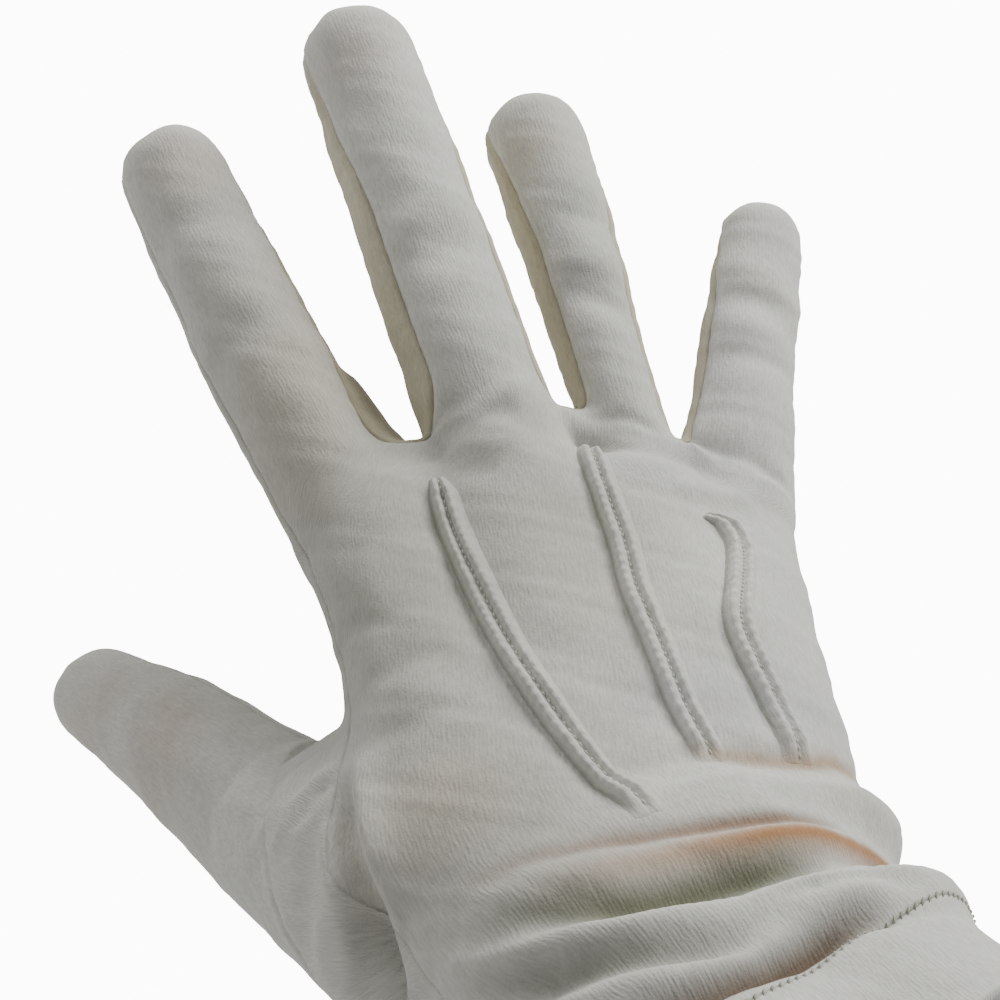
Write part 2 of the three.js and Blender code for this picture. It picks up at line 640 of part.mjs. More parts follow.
// Solid that cuts the thumb's opening in the palm panel: the root of the thumb, grown, from the seam on
function thumbPlug() {
  const grow = 1.5 * CLOTH;
  const depth = 10 * THUMB_FILLET;
  const starts = thumbTurns.map((turn) => thumbStart(turn, -SEAM_GAP / 2, grow));
  const levels = steps(4);
  const points = levels.flatMap((t) => thumbTurns.map((turn, j) => (
    thumbVertex(turn, starts[j] + t * depth, grow).outer
  )));
  const count = thumbTurns.length;
  const index = [];
  for (let i = 0; i + 1 < levels.length; i += 1) {
    for (let j = 0; j < count; j += 1) {
      const [a, b] = [i * count + j, i * count + (j + 1) % count];
      index.push(a, b, b + count, a, b + count, a + count);
    }
  }
  for (const [level, flip] of [[0, true], [levels.length - 1, false]]) {
    const ring = points.slice(level * count, level * count + count);
    const middle = points.push(ring.reduce((sum, p) => sum.add(p), V(0, 0, 0)).divideScalar(count)) - 1;
    for (let j = 0; j < count; j += 1) {
      const [a, b] = [level * count + j, level * count + (j + 1) % count];
      if (flip) index.push(b, a, middle);
      else index.push(a, b, middle);
    }
  }
  const geometry = new THREE.BufferGeometry();
  geometry.setAttribute('position', new THREE.Float32BufferAttribute(points.flatMap((p) => [p.x, p.y, p.z]), 3));
  geometry.setIndex(index);
  return geometry;
}

// Hem: the cloth turned up double round the wrist opening
function hemCloth() {
  const cloth = new Cloth();
  const count = 4 * COLUMNS_PER_FINGER;
  const rows = steps(HEM_ROWS).map((t) => {
    const along = THREE.MathUtils.lerp(-CUFF_LENGTH, hemLine, t);
    const back = steps(count).map((across) => cloth.add(handVertex(1, across, along, HEM_THICKNESS)));
    const palm = steps(count).slice(1, -1).reverse();
    const under = palm.map((across) => cloth.add(handVertex(-1, across, along, HEM_THICKNESS)));
    return [...back, ...under, back[0]];
  });
  cloth.grid(rows, false);
  cloth.trim(SEAM_GAP / 2);
  return cloth;
}

// Points: the three raised tucks on the back. One row per tuck with the places on its line, across as
// shares of the hand breadth and along as shares of the hand length, in the plane of the palm.
const POINTS = [
  { name: 'point_index', across: [-0.176, -0.163, -0.148, -0.123, -0.093, -0.05, -0.008],
    along: [0.48, 0.412, 0.35, 0.267, 0.2, 0.128, 0.07] },
  { name: 'point_middle', across: [0.107, 0.109, 0.115, 0.112, 0.122, 0.134, 0.154],
    along: [0.505, 0.428, 0.354, 0.291, 0.231, 0.16, 0.11] },
  { name: 'point_ring', across: [0.276, 0.315, 0.326, 0.298, 0.271, 0.274, 0.286, 0.3],
    along: [0.398, 0.381, 0.348, 0.298, 0.252, 0.214, 0.175, 0.125] },
];

// Section of a tuck: w across its half width, h up its height
const TUCK_SECTION = [
  { w: -1, h: 0.2 },
  { w: -0.6, h: 0.9 },
  { w: 0, h: 1 },
  { w: 0.6, h: 0.9 },
  { w: 1, h: 0.2 },
];

// Place on the outer facets of a cloth straight below a place in the palm's plane
function onCloth(cloth, x, y) {
  const ray = new THREE.Ray(palmPoint(x, y, 2 * PALM_THICKNESS), palmVector(0, 0, -1));
  let nearest = null;
  for (const face of cloth.faces) {
    const [a, b, c] = face.map((v) => cloth.vertices[v].outer);
    const hit = ray.intersectTriangle(a, b, c, true, V(0, 0, 0));
    if (!hit) continue;
    if (nearest === null || ray.origin.distanceTo(hit) < ray.origin.distanceTo(nearest)) nearest = hit;
  }
  return nearest;
}

// A tuck is made with its foot in the panel and is then cut free along the panel's own facets
function pointCloth(row, back) {
  const line = new THREE.CatmullRomCurve3(row.across.map((across, i) => (
    V(across * HAND_BREADTH, row.along[i] * HAND_LENGTH, 0)
  )));
  const cloth = new Cloth();
  const rows = steps(POINT_STEPS).map((t) => {
    const at = line.getPointAt(t);
    const ahead = line.getTangentAt(t);
    const end = smooth(Math.min(t, 1 - t) * POINT_STEPS / 2);
    const halfWidth = POINT_WIDTH / 2 * (0.6 + 0.4 * end);
    return TUCK_SECTION.map(({ w, h }) => {
      const foot = onCloth(back, at.x - w * halfWidth * ahead.y, at.y + w * halfWidth * ahead.x);
      const normal = fieldNormal(foot, handField);
      const height = SEAM_GAP + h * POINT_HEIGHT * (0.3 + 0.7 * end);
      return cloth.add({
        outer: foot.clone().addScaledVector(normal, height),
        inner: foot.clone().addScaledVector(normal, -CLOTH / 2),
      });
    });
  });
  cloth.grid(rows, true);
  return cloth;
}

// Copy of a cloth with its outer side raised and its inner side sunk
function grownCloth(cloth, up, down) {
  const grown = new Cloth();
  for (const { outer, inner } of cloth.vertices) {
    const normal = outer.clone().sub(inner).normalize();
    grown.add({
      outer: outer.clone().addScaledVector(normal, up),
      inner: inner.clone().addScaledVector(normal, -down),
    });
  }
  grown.faces = cloth.faces;
  return grown;
}

const clothMaterial = (color) => new THREE.MeshStandardMaterial({ color, roughness: 0.9, metalness: 0 });
const glove = new THREE.Group();
function addPiece(name, geometry, color) {
  const mesh = new THREE.Mesh(geometry, clothMaterial(color));
  mesh.name = name;
  glove.add(mesh);
}

const wasm = await Module();
wasm.setup();

function toManifold(geometry) {
  const merged = mergeVertices(geometry, 1e-5);
  return new wasm.Manifold(new wasm.Mesh({
    numProp: 3,
    vertProperties: merged.attributes.position.array,
    triVerts: new Uint32Array(merged.index.array),
  }));
}

function fromManifold(solid) {
  const mesh = solid.getMesh();
  const geometry = new THREE.BufferGeometry();
  geometry.setAttribute('position', new THREE.BufferAttribute(new Float32Array(mesh.vertProperties), 3));
  geometry.setIndex(new THREE.BufferAttribute(new Uint32Array(mesh.triVerts), 1));
  return geometry;
}

const backCloth = panelCloth(1);
addPiece('back_panel', backCloth.geometry(), 0xb6b8b0);
const palmSolid = toManifold(panelCloth(-1).geometry()).subtract(toManifold(thumbPlug()));
addPiece('palm_panel', fromManifold(palmSolid), 0xb2b4ac);
WEBS.forEach((web, k) => addPiece(`fourchette_${web.name}`, stripCloth(k).geometry(), 0xb8b4a0));
addPiece('thumb', thumbCloth().geometry(), 0xb8b4a8);
addPiece('cuff_hem', hemCloth().geometry(), 0xb6b8b0);
const tuckSeat = toManifold(grownCloth(backCloth, SEAM_GAP, POINT_HEIGHT).geometry());
for (const row of POINTS) {
  const tuck = toManifold(pointCloth(row, backCloth).geometry()).subtract(tuckSeat);
  addPiece(row.name, fromManifold(tuck), 0xc0c0ba);
}

export default glove;
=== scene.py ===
# Looks of the white parade glove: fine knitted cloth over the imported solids, with its seams, tucks and stitches

import bpy
import numpy as np
from mathutils import Matrix


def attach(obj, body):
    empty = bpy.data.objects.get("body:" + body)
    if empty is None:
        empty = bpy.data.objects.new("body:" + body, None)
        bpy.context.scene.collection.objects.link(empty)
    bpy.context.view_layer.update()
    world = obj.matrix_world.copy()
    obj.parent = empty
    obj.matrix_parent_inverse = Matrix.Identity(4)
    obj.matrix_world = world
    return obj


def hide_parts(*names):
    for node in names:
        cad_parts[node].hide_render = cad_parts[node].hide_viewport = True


bl_info = {
    "name": "White Parade Glove",
    "version": (1, 0, 0),
    "blender": (4, 5, 0),
    "location": "View3D > Sidebar > Glove",
    "description": "Builds a knitted dress glove, its tucks and stitches, and a plain studio",
    "category": "Object",
}

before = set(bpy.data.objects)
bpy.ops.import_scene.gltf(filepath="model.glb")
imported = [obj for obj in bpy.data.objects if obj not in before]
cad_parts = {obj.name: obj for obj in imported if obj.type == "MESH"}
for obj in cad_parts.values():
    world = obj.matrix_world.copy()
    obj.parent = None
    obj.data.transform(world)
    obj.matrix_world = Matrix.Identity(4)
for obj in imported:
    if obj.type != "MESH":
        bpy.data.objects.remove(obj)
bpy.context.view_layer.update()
MM = 0.001

# Studio: glow of the backdrop as the camera sees it, strength of the light from all round, half the floor's
# side and its height in metres, distance of the lamps and the place that they face in metres
BACKDROP_GLOW = 12.0
WORLD_LIGHT = 0.28
FLOOR_REACH = 12
FLOOR_HEIGHT = -0.18
LAMP_DISTANCE = 0.9
LAMP_TARGET = np.array((0.035, 0.11, 0.03))
LAMPS = (
    {"name": "key", "way": (0.75, 0.1, 0.8), "size": 0.5, "power": "key_power"},
    {"name": "fill", "way": (-0.4, 0.85, 0.6), "size": 0.7, "power": "fill_power"},
)

# Camera at the photo's view: place in mm, turns in degrees, lens in mm on a 36 mm sensor
CAMERA_PLACE = np.array((-153.94, -162.63, 167.58))
CAMERA_AZIMUTH, CAMERA_ELEVATION = -31.27, 21.41
CAMERA_LENS, CAMERA_SENSOR = 86.4, 36

# Colours of the two threads, and the strips in their order
HEM_THREAD = "#a9a795"
TUCK_THREAD = "#c9c9c1"
STRIPS = ("index_middle", "middle_ring", "ring_little")

# Driving sizes of the hand and the glove, in millimetres, as in the part's source
HAND_LENGTH = 190
HAND_BREADTH = 86
FINGER_THICKNESS = 22
PALM_THICKNESS = 27
CUFF_LENGTH = 58
CUFF_BREADTH = 72
CUFF_DEPTH = 44
HEM_WIDTH = 20
HEM_SLANT = 0.32
WRIST_BEND_LENGTH = 36
THUMB_FILLET = 2.5
PALM_SPAN = 0.55 * HAND_LENGTH
PALM_TURN = {"roll": -7, "pitch": 15, "deviation": 24}

# Roundings of the form in mm, between the palm's masses and where a finger meets the palm
MASS_BLEND = 4
FINGER_BLEND = 0.6
# The cuff's form grows narrower by this much towards the wrist, and ends this far short of it
CUFF_TAPER = 3
CUFF_SHORT = 8
# The last bone's curl, as a share of the first one's
LAST_CURL = 1.6
# The outer sides of the index and little finger start this share of their web's reach up
OUTER_BASE = 0.8
# Share of a finger at which its two seams start to open
SEAMS_OPEN_FROM = 0.45
# Share of the palm from which its rows take up the fingers' base line, and how far either side, as a share of
# the breadth, that line is averaged before
BASE_LINE_FROM = 0.74
BASE_SOFTNESS = 0.14
# The corner between two fingers: its share of a finger's breadth and of the hand's length
CORNER_BREADTH = 0.32
CORNER_LENGTH = 0.07
# How far the middle of the wrist's bend is drawn to the wrist's own line
WRIST_KNEE = 0.6

# Angles of a finger's seam from the middle of its back, along the finger and at the web, in degrees
SEAM_ANGLE = 56
WEB_SEAM_ANGLE = 40
# How much further up the finger a strip's middle is drawn to the web than its seams are
WEB_EASE = 1.5
# The thumb's seam: its distance from the thumb's root as a share of the hand's length, the tilt of its plane in
# degrees and the place in the palm that it tilts towards
THUMB_SEAM = {"at": 0.137, "tilt": 48, "faces": (-0.2, 0.25, 0)}
THUMB_CLOTH_RADIUS = 12
# Lap of the two cloths either side of the thumb's seam, and how deep the lower one lies, in mm
SEAM_LAP = 2.2
SEAM_SINK = 0.7
PALM_DRAWN_BACK = 6
# Sewn edges in mm: depth and half width of the groove, height of the welt beside it and its pucker
SEAM_DEPTH = 0.4
SEAM_HALF_WIDTH = 0.7
SEAM_WELT = 0.12
PUCKER_STEP = 3.4
PUCKER_SHARE = 0.25
SIDE_SEAM_SHARE = 0.25
HEM_LINE = -(CUFF_LENGTH - HEM_WIDTH)
HEM_GAP = 0.1

# Tucks in mm: half breadth, height, and the depth, half width and place of the valley at their left
TUCK_HALF_WIDTH = 2.05
TUCK_HEIGHT = 1.45
TUCK_VALLEY = 0.45
TUCK_VALLEY_WIDTH = 0.8
TUCK_VALLEY_PLACE = 1.25
# Across a tuck, in half breadths: its rims, its groove, and its two rolls, each with its middle, half width,
# height as a share and steepness
TUCK_SPAN = (-1.3, 1.55)
TUCK_GROOVE = 0.14
TUCK_ROLLS = ((-0.42, 0.46, 1, 3), (0.62, 0.4, 0.9, 2.5))
# Colour of the painted shadow along the tucks' left edges and of the painted shade in their grooves
TUCK_SHADOW_COLOUR = "#a6a79d"

# Waves of the cloth's slack: length in mm, heading and phase in radians. Each is this share of its length high.
WAVER = ((7.5, 1.0, 0.3), (11, 2.1, 1.7), (17, 3.4, 0.8), (5.2, 4.4, 2.6))
WAVER_SHARE = 0.009

# Knit of the cloth: distance between its wales and between its courses in mm
WALE_STEP = 0.62
COURSE_STEP = 0.5

# Columns and rows of the pieces' grids
COLUMNS_PER_FINGER = 28
BACK_ROWS = (60, 130, 96)
PALM_ROWS = (44, 100, 70)
STRIP_GRID = (18, 90)
THUMB_GRID = (96, 110)
HEM_ROWS = 34
TUCK_ROWS = 320
HEM_STITCHES = 150

# The fingers from index to little: the knuckle's place in shares of the hand's breadth, length and palm
# thickness, turns in degrees, bones in shares of the hand's length and radii of the finger thickness
FINGERS = [
    {"across": -0.322, "along": 0.469, "up": -0.037, "splay": -16.9, "lift": 11.1, "curl": -1.9,
     "bones": (0.224, 0.128, 0.107), "radii": (0.436, 0.476, 0.447, 0.426)},
    {"across": -0.017, "along": 0.477, "up": 0.074, "splay": -10.2, "lift": 17.4, "curl": -0.7,
     "bones": (0.25, 0.154, 0.12), "radii": (0.496, 0.498, 0.482, 0.461)},
    {"across": 0.222, "along": 0.443, "up": 0.037, "splay": -3.9, "lift": 12.6, "curl": 1.1,
     "bones": (0.222, 0.141, 0.123), "radii": (0.283, 0.342, 0.393, 0.411)},
    {"across": 0.338, "along": 0.409, "up": -0.11, "splay": 16.1, "lift": 14.5, "curl": 2.9,
     "bones": (0.184, 0.105, 0.102), "radii": (0.52, 0.381, 0.368, 0.332)},
]
THUMB = {"across": -0.265, "along": 0.098, "up": -0.411, "bones": (0.237, 0.179, 0.13),
         "spread": (26.3, 30.1, 31.3), "drop": (25, 12, 18), "radii": (0.836, 0.61, 0.493, 0.383)}
# The webs between neighbouring fingers: reach from the knuckles and radius, shares of the same lengths
WEBS = [
    {"reach": 0.055, "radius": 0.24},
    {"reach": 0.091, "radius": 0.22},
    {"reach": 0.073, "radius": 0.28},
]
# Masses of the palm, the wrist and the thumb's root, each a rounded cone, as shares of the palm's sizes
PALM_MASSES = [
    {"from": (-0.165, 0.02, 0), "to": (-0.306, 0.469, -0.037), "radii": (0.393, 0.371)},
    {"from": (-0.05, 0.02, 0.02), "to": (-0.017, 0.477, 0.074), "radii": (0.4, 0.43)},
    {"from": (0.06, 0.02, 0.02), "to": (0.191, 0.443, 0.037), "radii": (0.4, 0.42)},
    {"from": (0.15, 0.02, 0), "to": (0.338, 0.409, -0.11), "radii": (0.38, 0.4)},
    {"from": (0.286, -0.05, -0.15), "to": (0.27, 0.25, -0.2), "radii": (0.487, 0.544)},
    {"from": (-0.13, 0.05, -0.25), "to": (-0.259, 0.15, -0.42), "radii": (0.55, 0.514)},
    {"from": (-0.253, 0.195, -0.204), "to": (-0.385, 0.259, -0.8), "radii": (0.312, 0.353)},
    {"from": (-0.358, 0.63, 0.026), "to": (-0.191, 0.485, -0.006), "radii": (0.309, 0.176)},
    {"from": (0.21, 0.29, -0.125), "to": (0.335, 0.342, -0.123), "radii": (0.321, 0.267)},
]


def linear(text):
    """A colour from its hex sRGB text, in the linear values that shaders use."""
    rgb = np.array([int(text[i:i + 2], 16) for i in (1, 3, 5)]) / 255
    rgb = np.where(rgb <= 0.04045, rgb / 12.92, ((rgb + 0.055) / 1.055) ** 2.4)
    return (*rgb.tolist(), 1.0)


def unit(v):
    """Each vector of an array, at length one."""
    return v / np.linalg.norm(v, axis=-1, keepdims=True)


def dot(a, b):
    """Scalar product along the last axis, kept as a column."""
    return np.sum(a * b, axis=-1, keepdims=True)


def mix(a, b, t):
    """Straight blend from a to b. t is a column or a number."""
    return a + (b - a) * t


def smooth(t):
    """Eased step from 0 to 1: 3t^2 - 2t^3 between 0 and 1."""
    t = np.clip(t, 0, 1)
    return t * t * (3 - 2 * t)


def turn_matrix(axis, degrees):
    """Rotation about X, Y or Z as a 3 by 3 array."""
    return np.array(Matrix.Rotation(np.radians(degrees), 3, axis))


PALM_AXES = (turn_matrix("Y", PALM_TURN["roll"]) @ turn_matrix("X", PALM_TURN["pitch"])
             @ turn_matrix("Z", -PALM_TURN["deviation"]))
WRIST = np.array([0.0, CUFF_LENGTH, 0.0])


def palm_vector(v):
    """A direction of the palm's frame in the row's frame."""
    return np.asarray(v, float) @ PALM_AXES.T


def palm_point(shares):
    """Place given in shares of the hand's breadth, length and palm thickness."""
    return palm_vector(np.asarray(shares, float) * (HAND_BREADTH, HAND_LENGTH, PALM_THICKNESS)) + WRIST


def in_palm_plane(points):
    """Places of points in the palm's frame, in millimetres: across, along and up."""
    return (points - WRIST) @ PALM_AXES


def cone(a, b, ra, rb):
    """A rounded cone from a to b with its two radii."""
    a, b = np.asarray(a, float), np.asarray(b, float)
    return {"a": a, "axis": b - a, "span": float(np.dot(b - a, b - a)), "ra": ra, "rb": rb}


def cone_field(p, c):
    """Distance to the cone's axis stretch less its radius there."""
    h = np.clip(((p - c["a"]) @ c["axis"]) / c["span"], 0, 1)
    near = c["a"] + h[..., None] * c["axis"]
    return np.linalg.norm(p - near, axis=-1) - (c["ra"] + (c["rb"] - c["ra"]) * h)


def soft_min(values, blend):
    """Rounded minimum: low - blend * ln(sum(exp((low - value) / blend)))."""
    values = np.stack(values)
    low = values.min(0)
    return low - blend * np.log(np.exp((low - values) / blend).sum(0))


def chain(joints, radii, side):
    """A digit: four joints, the rounded cones between them and the side direction of its rings."""
    joints = np.array(joints)
    cones = [cone(joints[k], joints[k + 1], radii[k], radii[k + 1]) for k in range(3)]
    lengths = np.linalg.norm(np.diff(joints, axis=0), axis=1)
    return {"joints": joints, "radii": radii, "cones": cones, "lengths": lengths,
            "heads": np.diff(joints, axis=0) / lengths[:, None], "total": lengths.sum(), "side": side}


def finger_chain(row):
    """Joints of a finger, from its knuckle and its turns."""
    joints = [palm_point((row["across"], row["along"], row["up"]))]
    lifts = np.radians([row["lift"] - share * row["curl"] for share in (0, 1, LAST_CURL)])
    sn, cs = np.sin(np.radians(row["splay"])), np.cos(np.radians(row["splay"]))
    for lift, bone in zip(lifts, row["bones"]):
        way = palm_vector((sn * np.cos(lift), cs * np.cos(lift), np.sin(lift)))
        joints.append(joints[-1] + way * bone * HAND_LENGTH)
    return chain(joints, [r * FINGER_THICKNESS for r in row["radii"]], palm_vector((cs, -sn, 0)))


def thumb_chain(row):
    """Joints of the thumb, from its root and its turns."""
    joints = [palm_point((row["across"], row["along"], row["up"]))]
    for spread, drop, bone in zip(np.radians(row["spread"]), np.radians(row["drop"]), row["bones"]):
        way = palm_vector((-np.sin(spread) * np.cos(drop), np.cos(spread) * np.cos(drop), -np.sin(drop)))
        joints.append(joints[-1] + way * bone * HAND_LENGTH)
    return chain(joints, [r * FINGER_THICKNESS for r in row["radii"]], palm_vector((1, 1, -1)))


def chain_frame(digit, distance):
    """Centre and ring directions at distances from a digit's first joint, eased over its joints."""
    ends = np.cumsum(digit["lengths"])
    k = (distance > ends[0]).astype(int) + (distance > ends[1]).astype(int)
    share = (distance - np.concatenate([[0], ends[:2]])[k]) / digit["lengths"][k]
    steps = np.diff(digit["joints"], axis=0)
    centre = digit["joints"][k] + steps[k] * share[..., None]
    other = np.clip(np.where(share > 0.5, k + 1, k - 1), 0, 2)
    lean = np.minimum(0.5, np.abs(share - 0.5))[..., None]
    ahead = unit(mix(digit["heads"][k], digit["heads"][other], lean))
    side = unit(digit["side"] - ahead * dot(ahead, digit["side"]))
    return centre, ahead, side, np.cross(side, ahead)


DIGITS = [finger_chain(row) for row in FINGERS]
THUMB_CHAIN = thumb_chain(THUMB)


def make_web(k, row):
    """The bar of cloth between two fingers, with its own up and ahead directions."""
    reach = np.array(row["reach"] * HAND_LENGTH)
    left, ahead_left = chain_frame(DIGITS[k], reach)[:2]
    right, ahead_right = chain_frame(DIGITS[k + 1], reach)[:2]
    ahead = unit(ahead_left + ahead_right)
    side = unit((right - left) - ahead * dot(ahead, right - left))
    radius = row["radius"] * FINGER_THICKNESS
    return {"centre": (left + right) / 2, "ahead": ahead, "up": np.cross(side, ahead),
            "reach": float(reach), "cone": cone(left, right, radius, radius)}


WEB_BARS = [make_web(k, row) for k, row in enumerate(WEBS)]
CUFF_OFFSET = (CUFF_BREADTH - CUFF_DEPTH) / 2
CUFF_RADIUS = CUFF_DEPTH / 2 - 1
BODY_CONES = [cone(palm_point(row["from"]), palm_point(row["to"]), row["radii"][0] * PALM_THICKNESS,
                   row["radii"][1] * PALM_THICKNESS) for row in PALM_MASSES]
BODY_CONES += [cone((s * CUFF_OFFSET, -CUFF_LENGTH, 0),
                    (s * (CUFF_OFFSET - CUFF_TAPER), CUFF_LENGTH - CUFF_SHORT, 0),
                    CUFF_RADIUS, CUFF_RADIUS - CUFF_TAPER) for s in (-1, 1)]


def chain_field(p, digit):
    """Field of a digit: the least of its three cones."""
    return np.min([cone_field(p, c) for c in digit["cones"]], axis=0)


def palm_field(p):
    """Field of the palm, cuff and fingers, without the thumb."""
    body = soft_min([cone_field(p, c) for c in BODY_CONES], MASS_BLEND)
    digits = [chain_field(p, digit) for digit in DIGITS]
    bridges = [cone_field(p, web["cone"]) for web in WEB_BARS]
    return soft_min([body, *digits, *bridges], FINGER_BLEND)


def thumb_seam_plane():
    """Centre and facing of the plane that the thumb's seam lies in."""
    axis = THUMB_CHAIN["heads"][0]
    centre = THUMB_CHAIN["joints"][0] + axis * THUMB_SEAM["at"] * HAND_LENGTH
    web = palm_point(THUMB_SEAM["faces"]) - centre
    web = unit(web - axis * np.dot(web, axis))
    tilt = np.radians(THUMB_SEAM["tilt"])
    return centre, axis * np.cos(tilt) - web * np.sin(tilt)


SEAM_CENTRE, SEAM_FACING = thumb_seam_plane()


def past_seam(p):
    """Signed distance past the thumb's seam plane."""
    return (p - SEAM_CENTRE) @ SEAM_FACING


def whole_field(p):
    """Field of the whole hand."""
    return soft_min([palm_field(p), chain_field(p, THUMB_CHAIN)], THUMB_FILLET)


def hand_field(p):
    """Field of the hand with its thumb cut short just past the seam."""
    stump = np.maximum(chain_field(p, THUMB_CHAIN), past_seam(p) - THUMB_FILLET * 2)
    return soft_min([palm_field(p), stump], THUMB_FILLET)


def thumb_field(p):
    """Field of the thumb's cloth: the whole hand, with the palm drawn back behind the seam."""
    behind = PALM_DRAWN_BACK * smooth(-past_seam(p) / SEAM_LAP)
    return soft_min([palm_field(p) + behind, chain_field(p, THUMB_CHAIN)], THUMB_FILLET)


def cast(start, way, field):
    """Points where rays first reach the zero of a field: each step goes 0.92 of the field's value along the ray,
    until all are within 0.001 mm."""
    way = unit(way)
    p = start.copy()
    for _ in range(60):
        value = field(p)
        p = p - way * (value * 0.92)[..., None]
        if np.abs(value).max() < 1e-3:
            break
    return p


def field_normal(p, field):
    """Outward direction of a field, from differences 0.1 mm apart."""
    sides = [field(p + step) - field(p - step) for step in np.eye(3) * 0.05]
    return unit(np.stack(sides, axis=-1))


def base_distance(k, c):
    """Distance from the knuckle at which a finger's panels start, eased from its left to its right web."""
    left = WEB_BARS[k - 1]["reach"] if k > 0 else WEB_BARS[0]["reach"] * OUTER_BASE
    right = WEB_BARS[k]["reach"] if k < 3 else WEB_BARS[2]["reach"] * OUTER_BASE
    return left + (right - left) * smooth(c)


def finger_span(k, c):
    """Length of a finger from its base line to the pole of its tip."""
    return DIGITS[k]["total"] + DIGITS[k]["radii"][3] - base_distance(k, c)


def seam_angle(k, c, above):
    """Angle of a finger's seam from the middle of its back, opening to a side seam at the tip."""
    opened = smooth((above / DIGITS[k]["total"] - SEAMS_OPEN_FROM) / (1 - SEAMS_OPEN_FROM))
    angle = SEAM_ANGLE + (90 - SEAM_ANGLE) * opened
    if k == 0:
        return np.where(c < 0.5, 90.0, angle)
    if k == 3:
        return np.where(c > 0.5, 90.0, angle)
    return angle


def web_pull(start, way, k, angle, pull):
    """A ray drawn to the web's bar by a share, towards the given angle over the bar's front."""
    web = WEB_BARS[k]
    angle = np.asarray(angle)[..., None]
    corner = web["up"] * np.cos(angle) + web["ahead"] * np.sin(angle)
    pull = np.asarray(pull)[..., None]
    return mix(start, web["centre"], pull), unit(mix(way, corner, pull))


def corner_pull(share, above):
    """1 in the corner between two fingers, easing to 0 on an ellipse round it."""
    return 1 - smooth(np.hypot(share / CORNER_BREADTH, above / (CORNER_LENGTH * HAND_LENGTH)))


def tipped(way, ahead, reach, digit):
    """Ring directions that tip over ahead past a digit's last joint, by a quarter turn at the pole of its tip."""
    tilt = (np.clip((reach - digit["total"]) / digit["radii"][3], 0, 1) * np.pi / 2)[..., None]
    return way * np.cos(tilt) + ahead * np.sin(tilt)


def digit_ray(face, k, c, above):
    """Ray of a finger's back (face 1) or palm side (-1): c across it, above in mm past its base line."""
    digit = DIGITS[k]
    reach = base_distance(k, c) + above
    centre, ahead, side, up = chain_frame(digit, np.minimum(reach, digit["total"]))
    low = -seam_angle(k, np.zeros_like(c), above)
    high = seam_angle(k, np.ones_like(c), above)
    angle = np.radians(low + (high - low) * c)[..., None]
    way = tipped(side * np.sin(angle) + up * np.cos(angle) * face, ahead, reach, digit)
    web_angle = np.full_like(c, np.radians(WEB_SEAM_ANGLE if face > 0 else 180 - WEB_SEAM_ANGLE))
    if k > 0:
        centre, way = web_pull(centre, way, k - 1, web_angle, corner_pull(c, above))
    if k < 3:
        centre, way = web_pull(centre, way, k, web_angle, corner_pull(1 - c, above))
    return centre, way


def strip_ray(k, side_of, t, above):
    """Ray of the strip between two fingers: t across it from the back's seam to the palm's, above in mm past the
    web. side_of is 0 on the left finger and 1 on the right one. The strip's middle is drawn to the web from
    further up than its seams."""
    finger, c = k + side_of, np.full_like(t, 1.0 - side_of)
    digit = DIGITS[finger]
    reach = base_distance(finger, c) + above
    centre, ahead, side, up = chain_frame(digit, np.minimum(reach, digit["total"]))
    seam = seam_angle(finger, c, above)
    angle = np.radians(seam + (180 - 2 * seam) * t)[..., None]
    way = side * (-1 if side_of else 1) * np.sin(angle) + up * np.cos(angle)
    way = tipped(way, ahead, reach, digit)
    web_angle = np.radians(WEB_SEAM_ANGLE + (180 - 2 * WEB_SEAM_ANGLE) * t)
    pull = corner_pull(np.zeros_like(t), above / (1 + WEB_EASE * np.sin(np.pi * t)))
    return web_pull(centre, way, k, web_angle, pull)


def base_ray(face, across):
    """Ray of the line where the palm ends and the four fingers start."""
    place = np.clip(across, 0, 1) * 4
    which = np.minimum(3, np.floor(place)).astype(int)
    start, way = np.zeros(across.shape + (3,)), np.zeros(across.shape + (3,))
    for k in range(4):
        rows = which == k
        start[rows], way[rows] = digit_ray(face, k, (place - k)[rows], np.zeros(rows.sum()))
    return start, way


def soft_base_ray(face, across):
    """The base line's rays averaged over five places on either side, closing in towards the two side seams."""
    reach = np.minimum(BASE_SOFTNESS, np.minimum(across, 1 - across))
    rays = [base_ray(face, across + share * reach) for share in (-1, -0.5, 0, 0.5, 1)]
    return np.mean([start for start, _ in rays], axis=0), unit(np.mean([way for _, way in rays], axis=0))


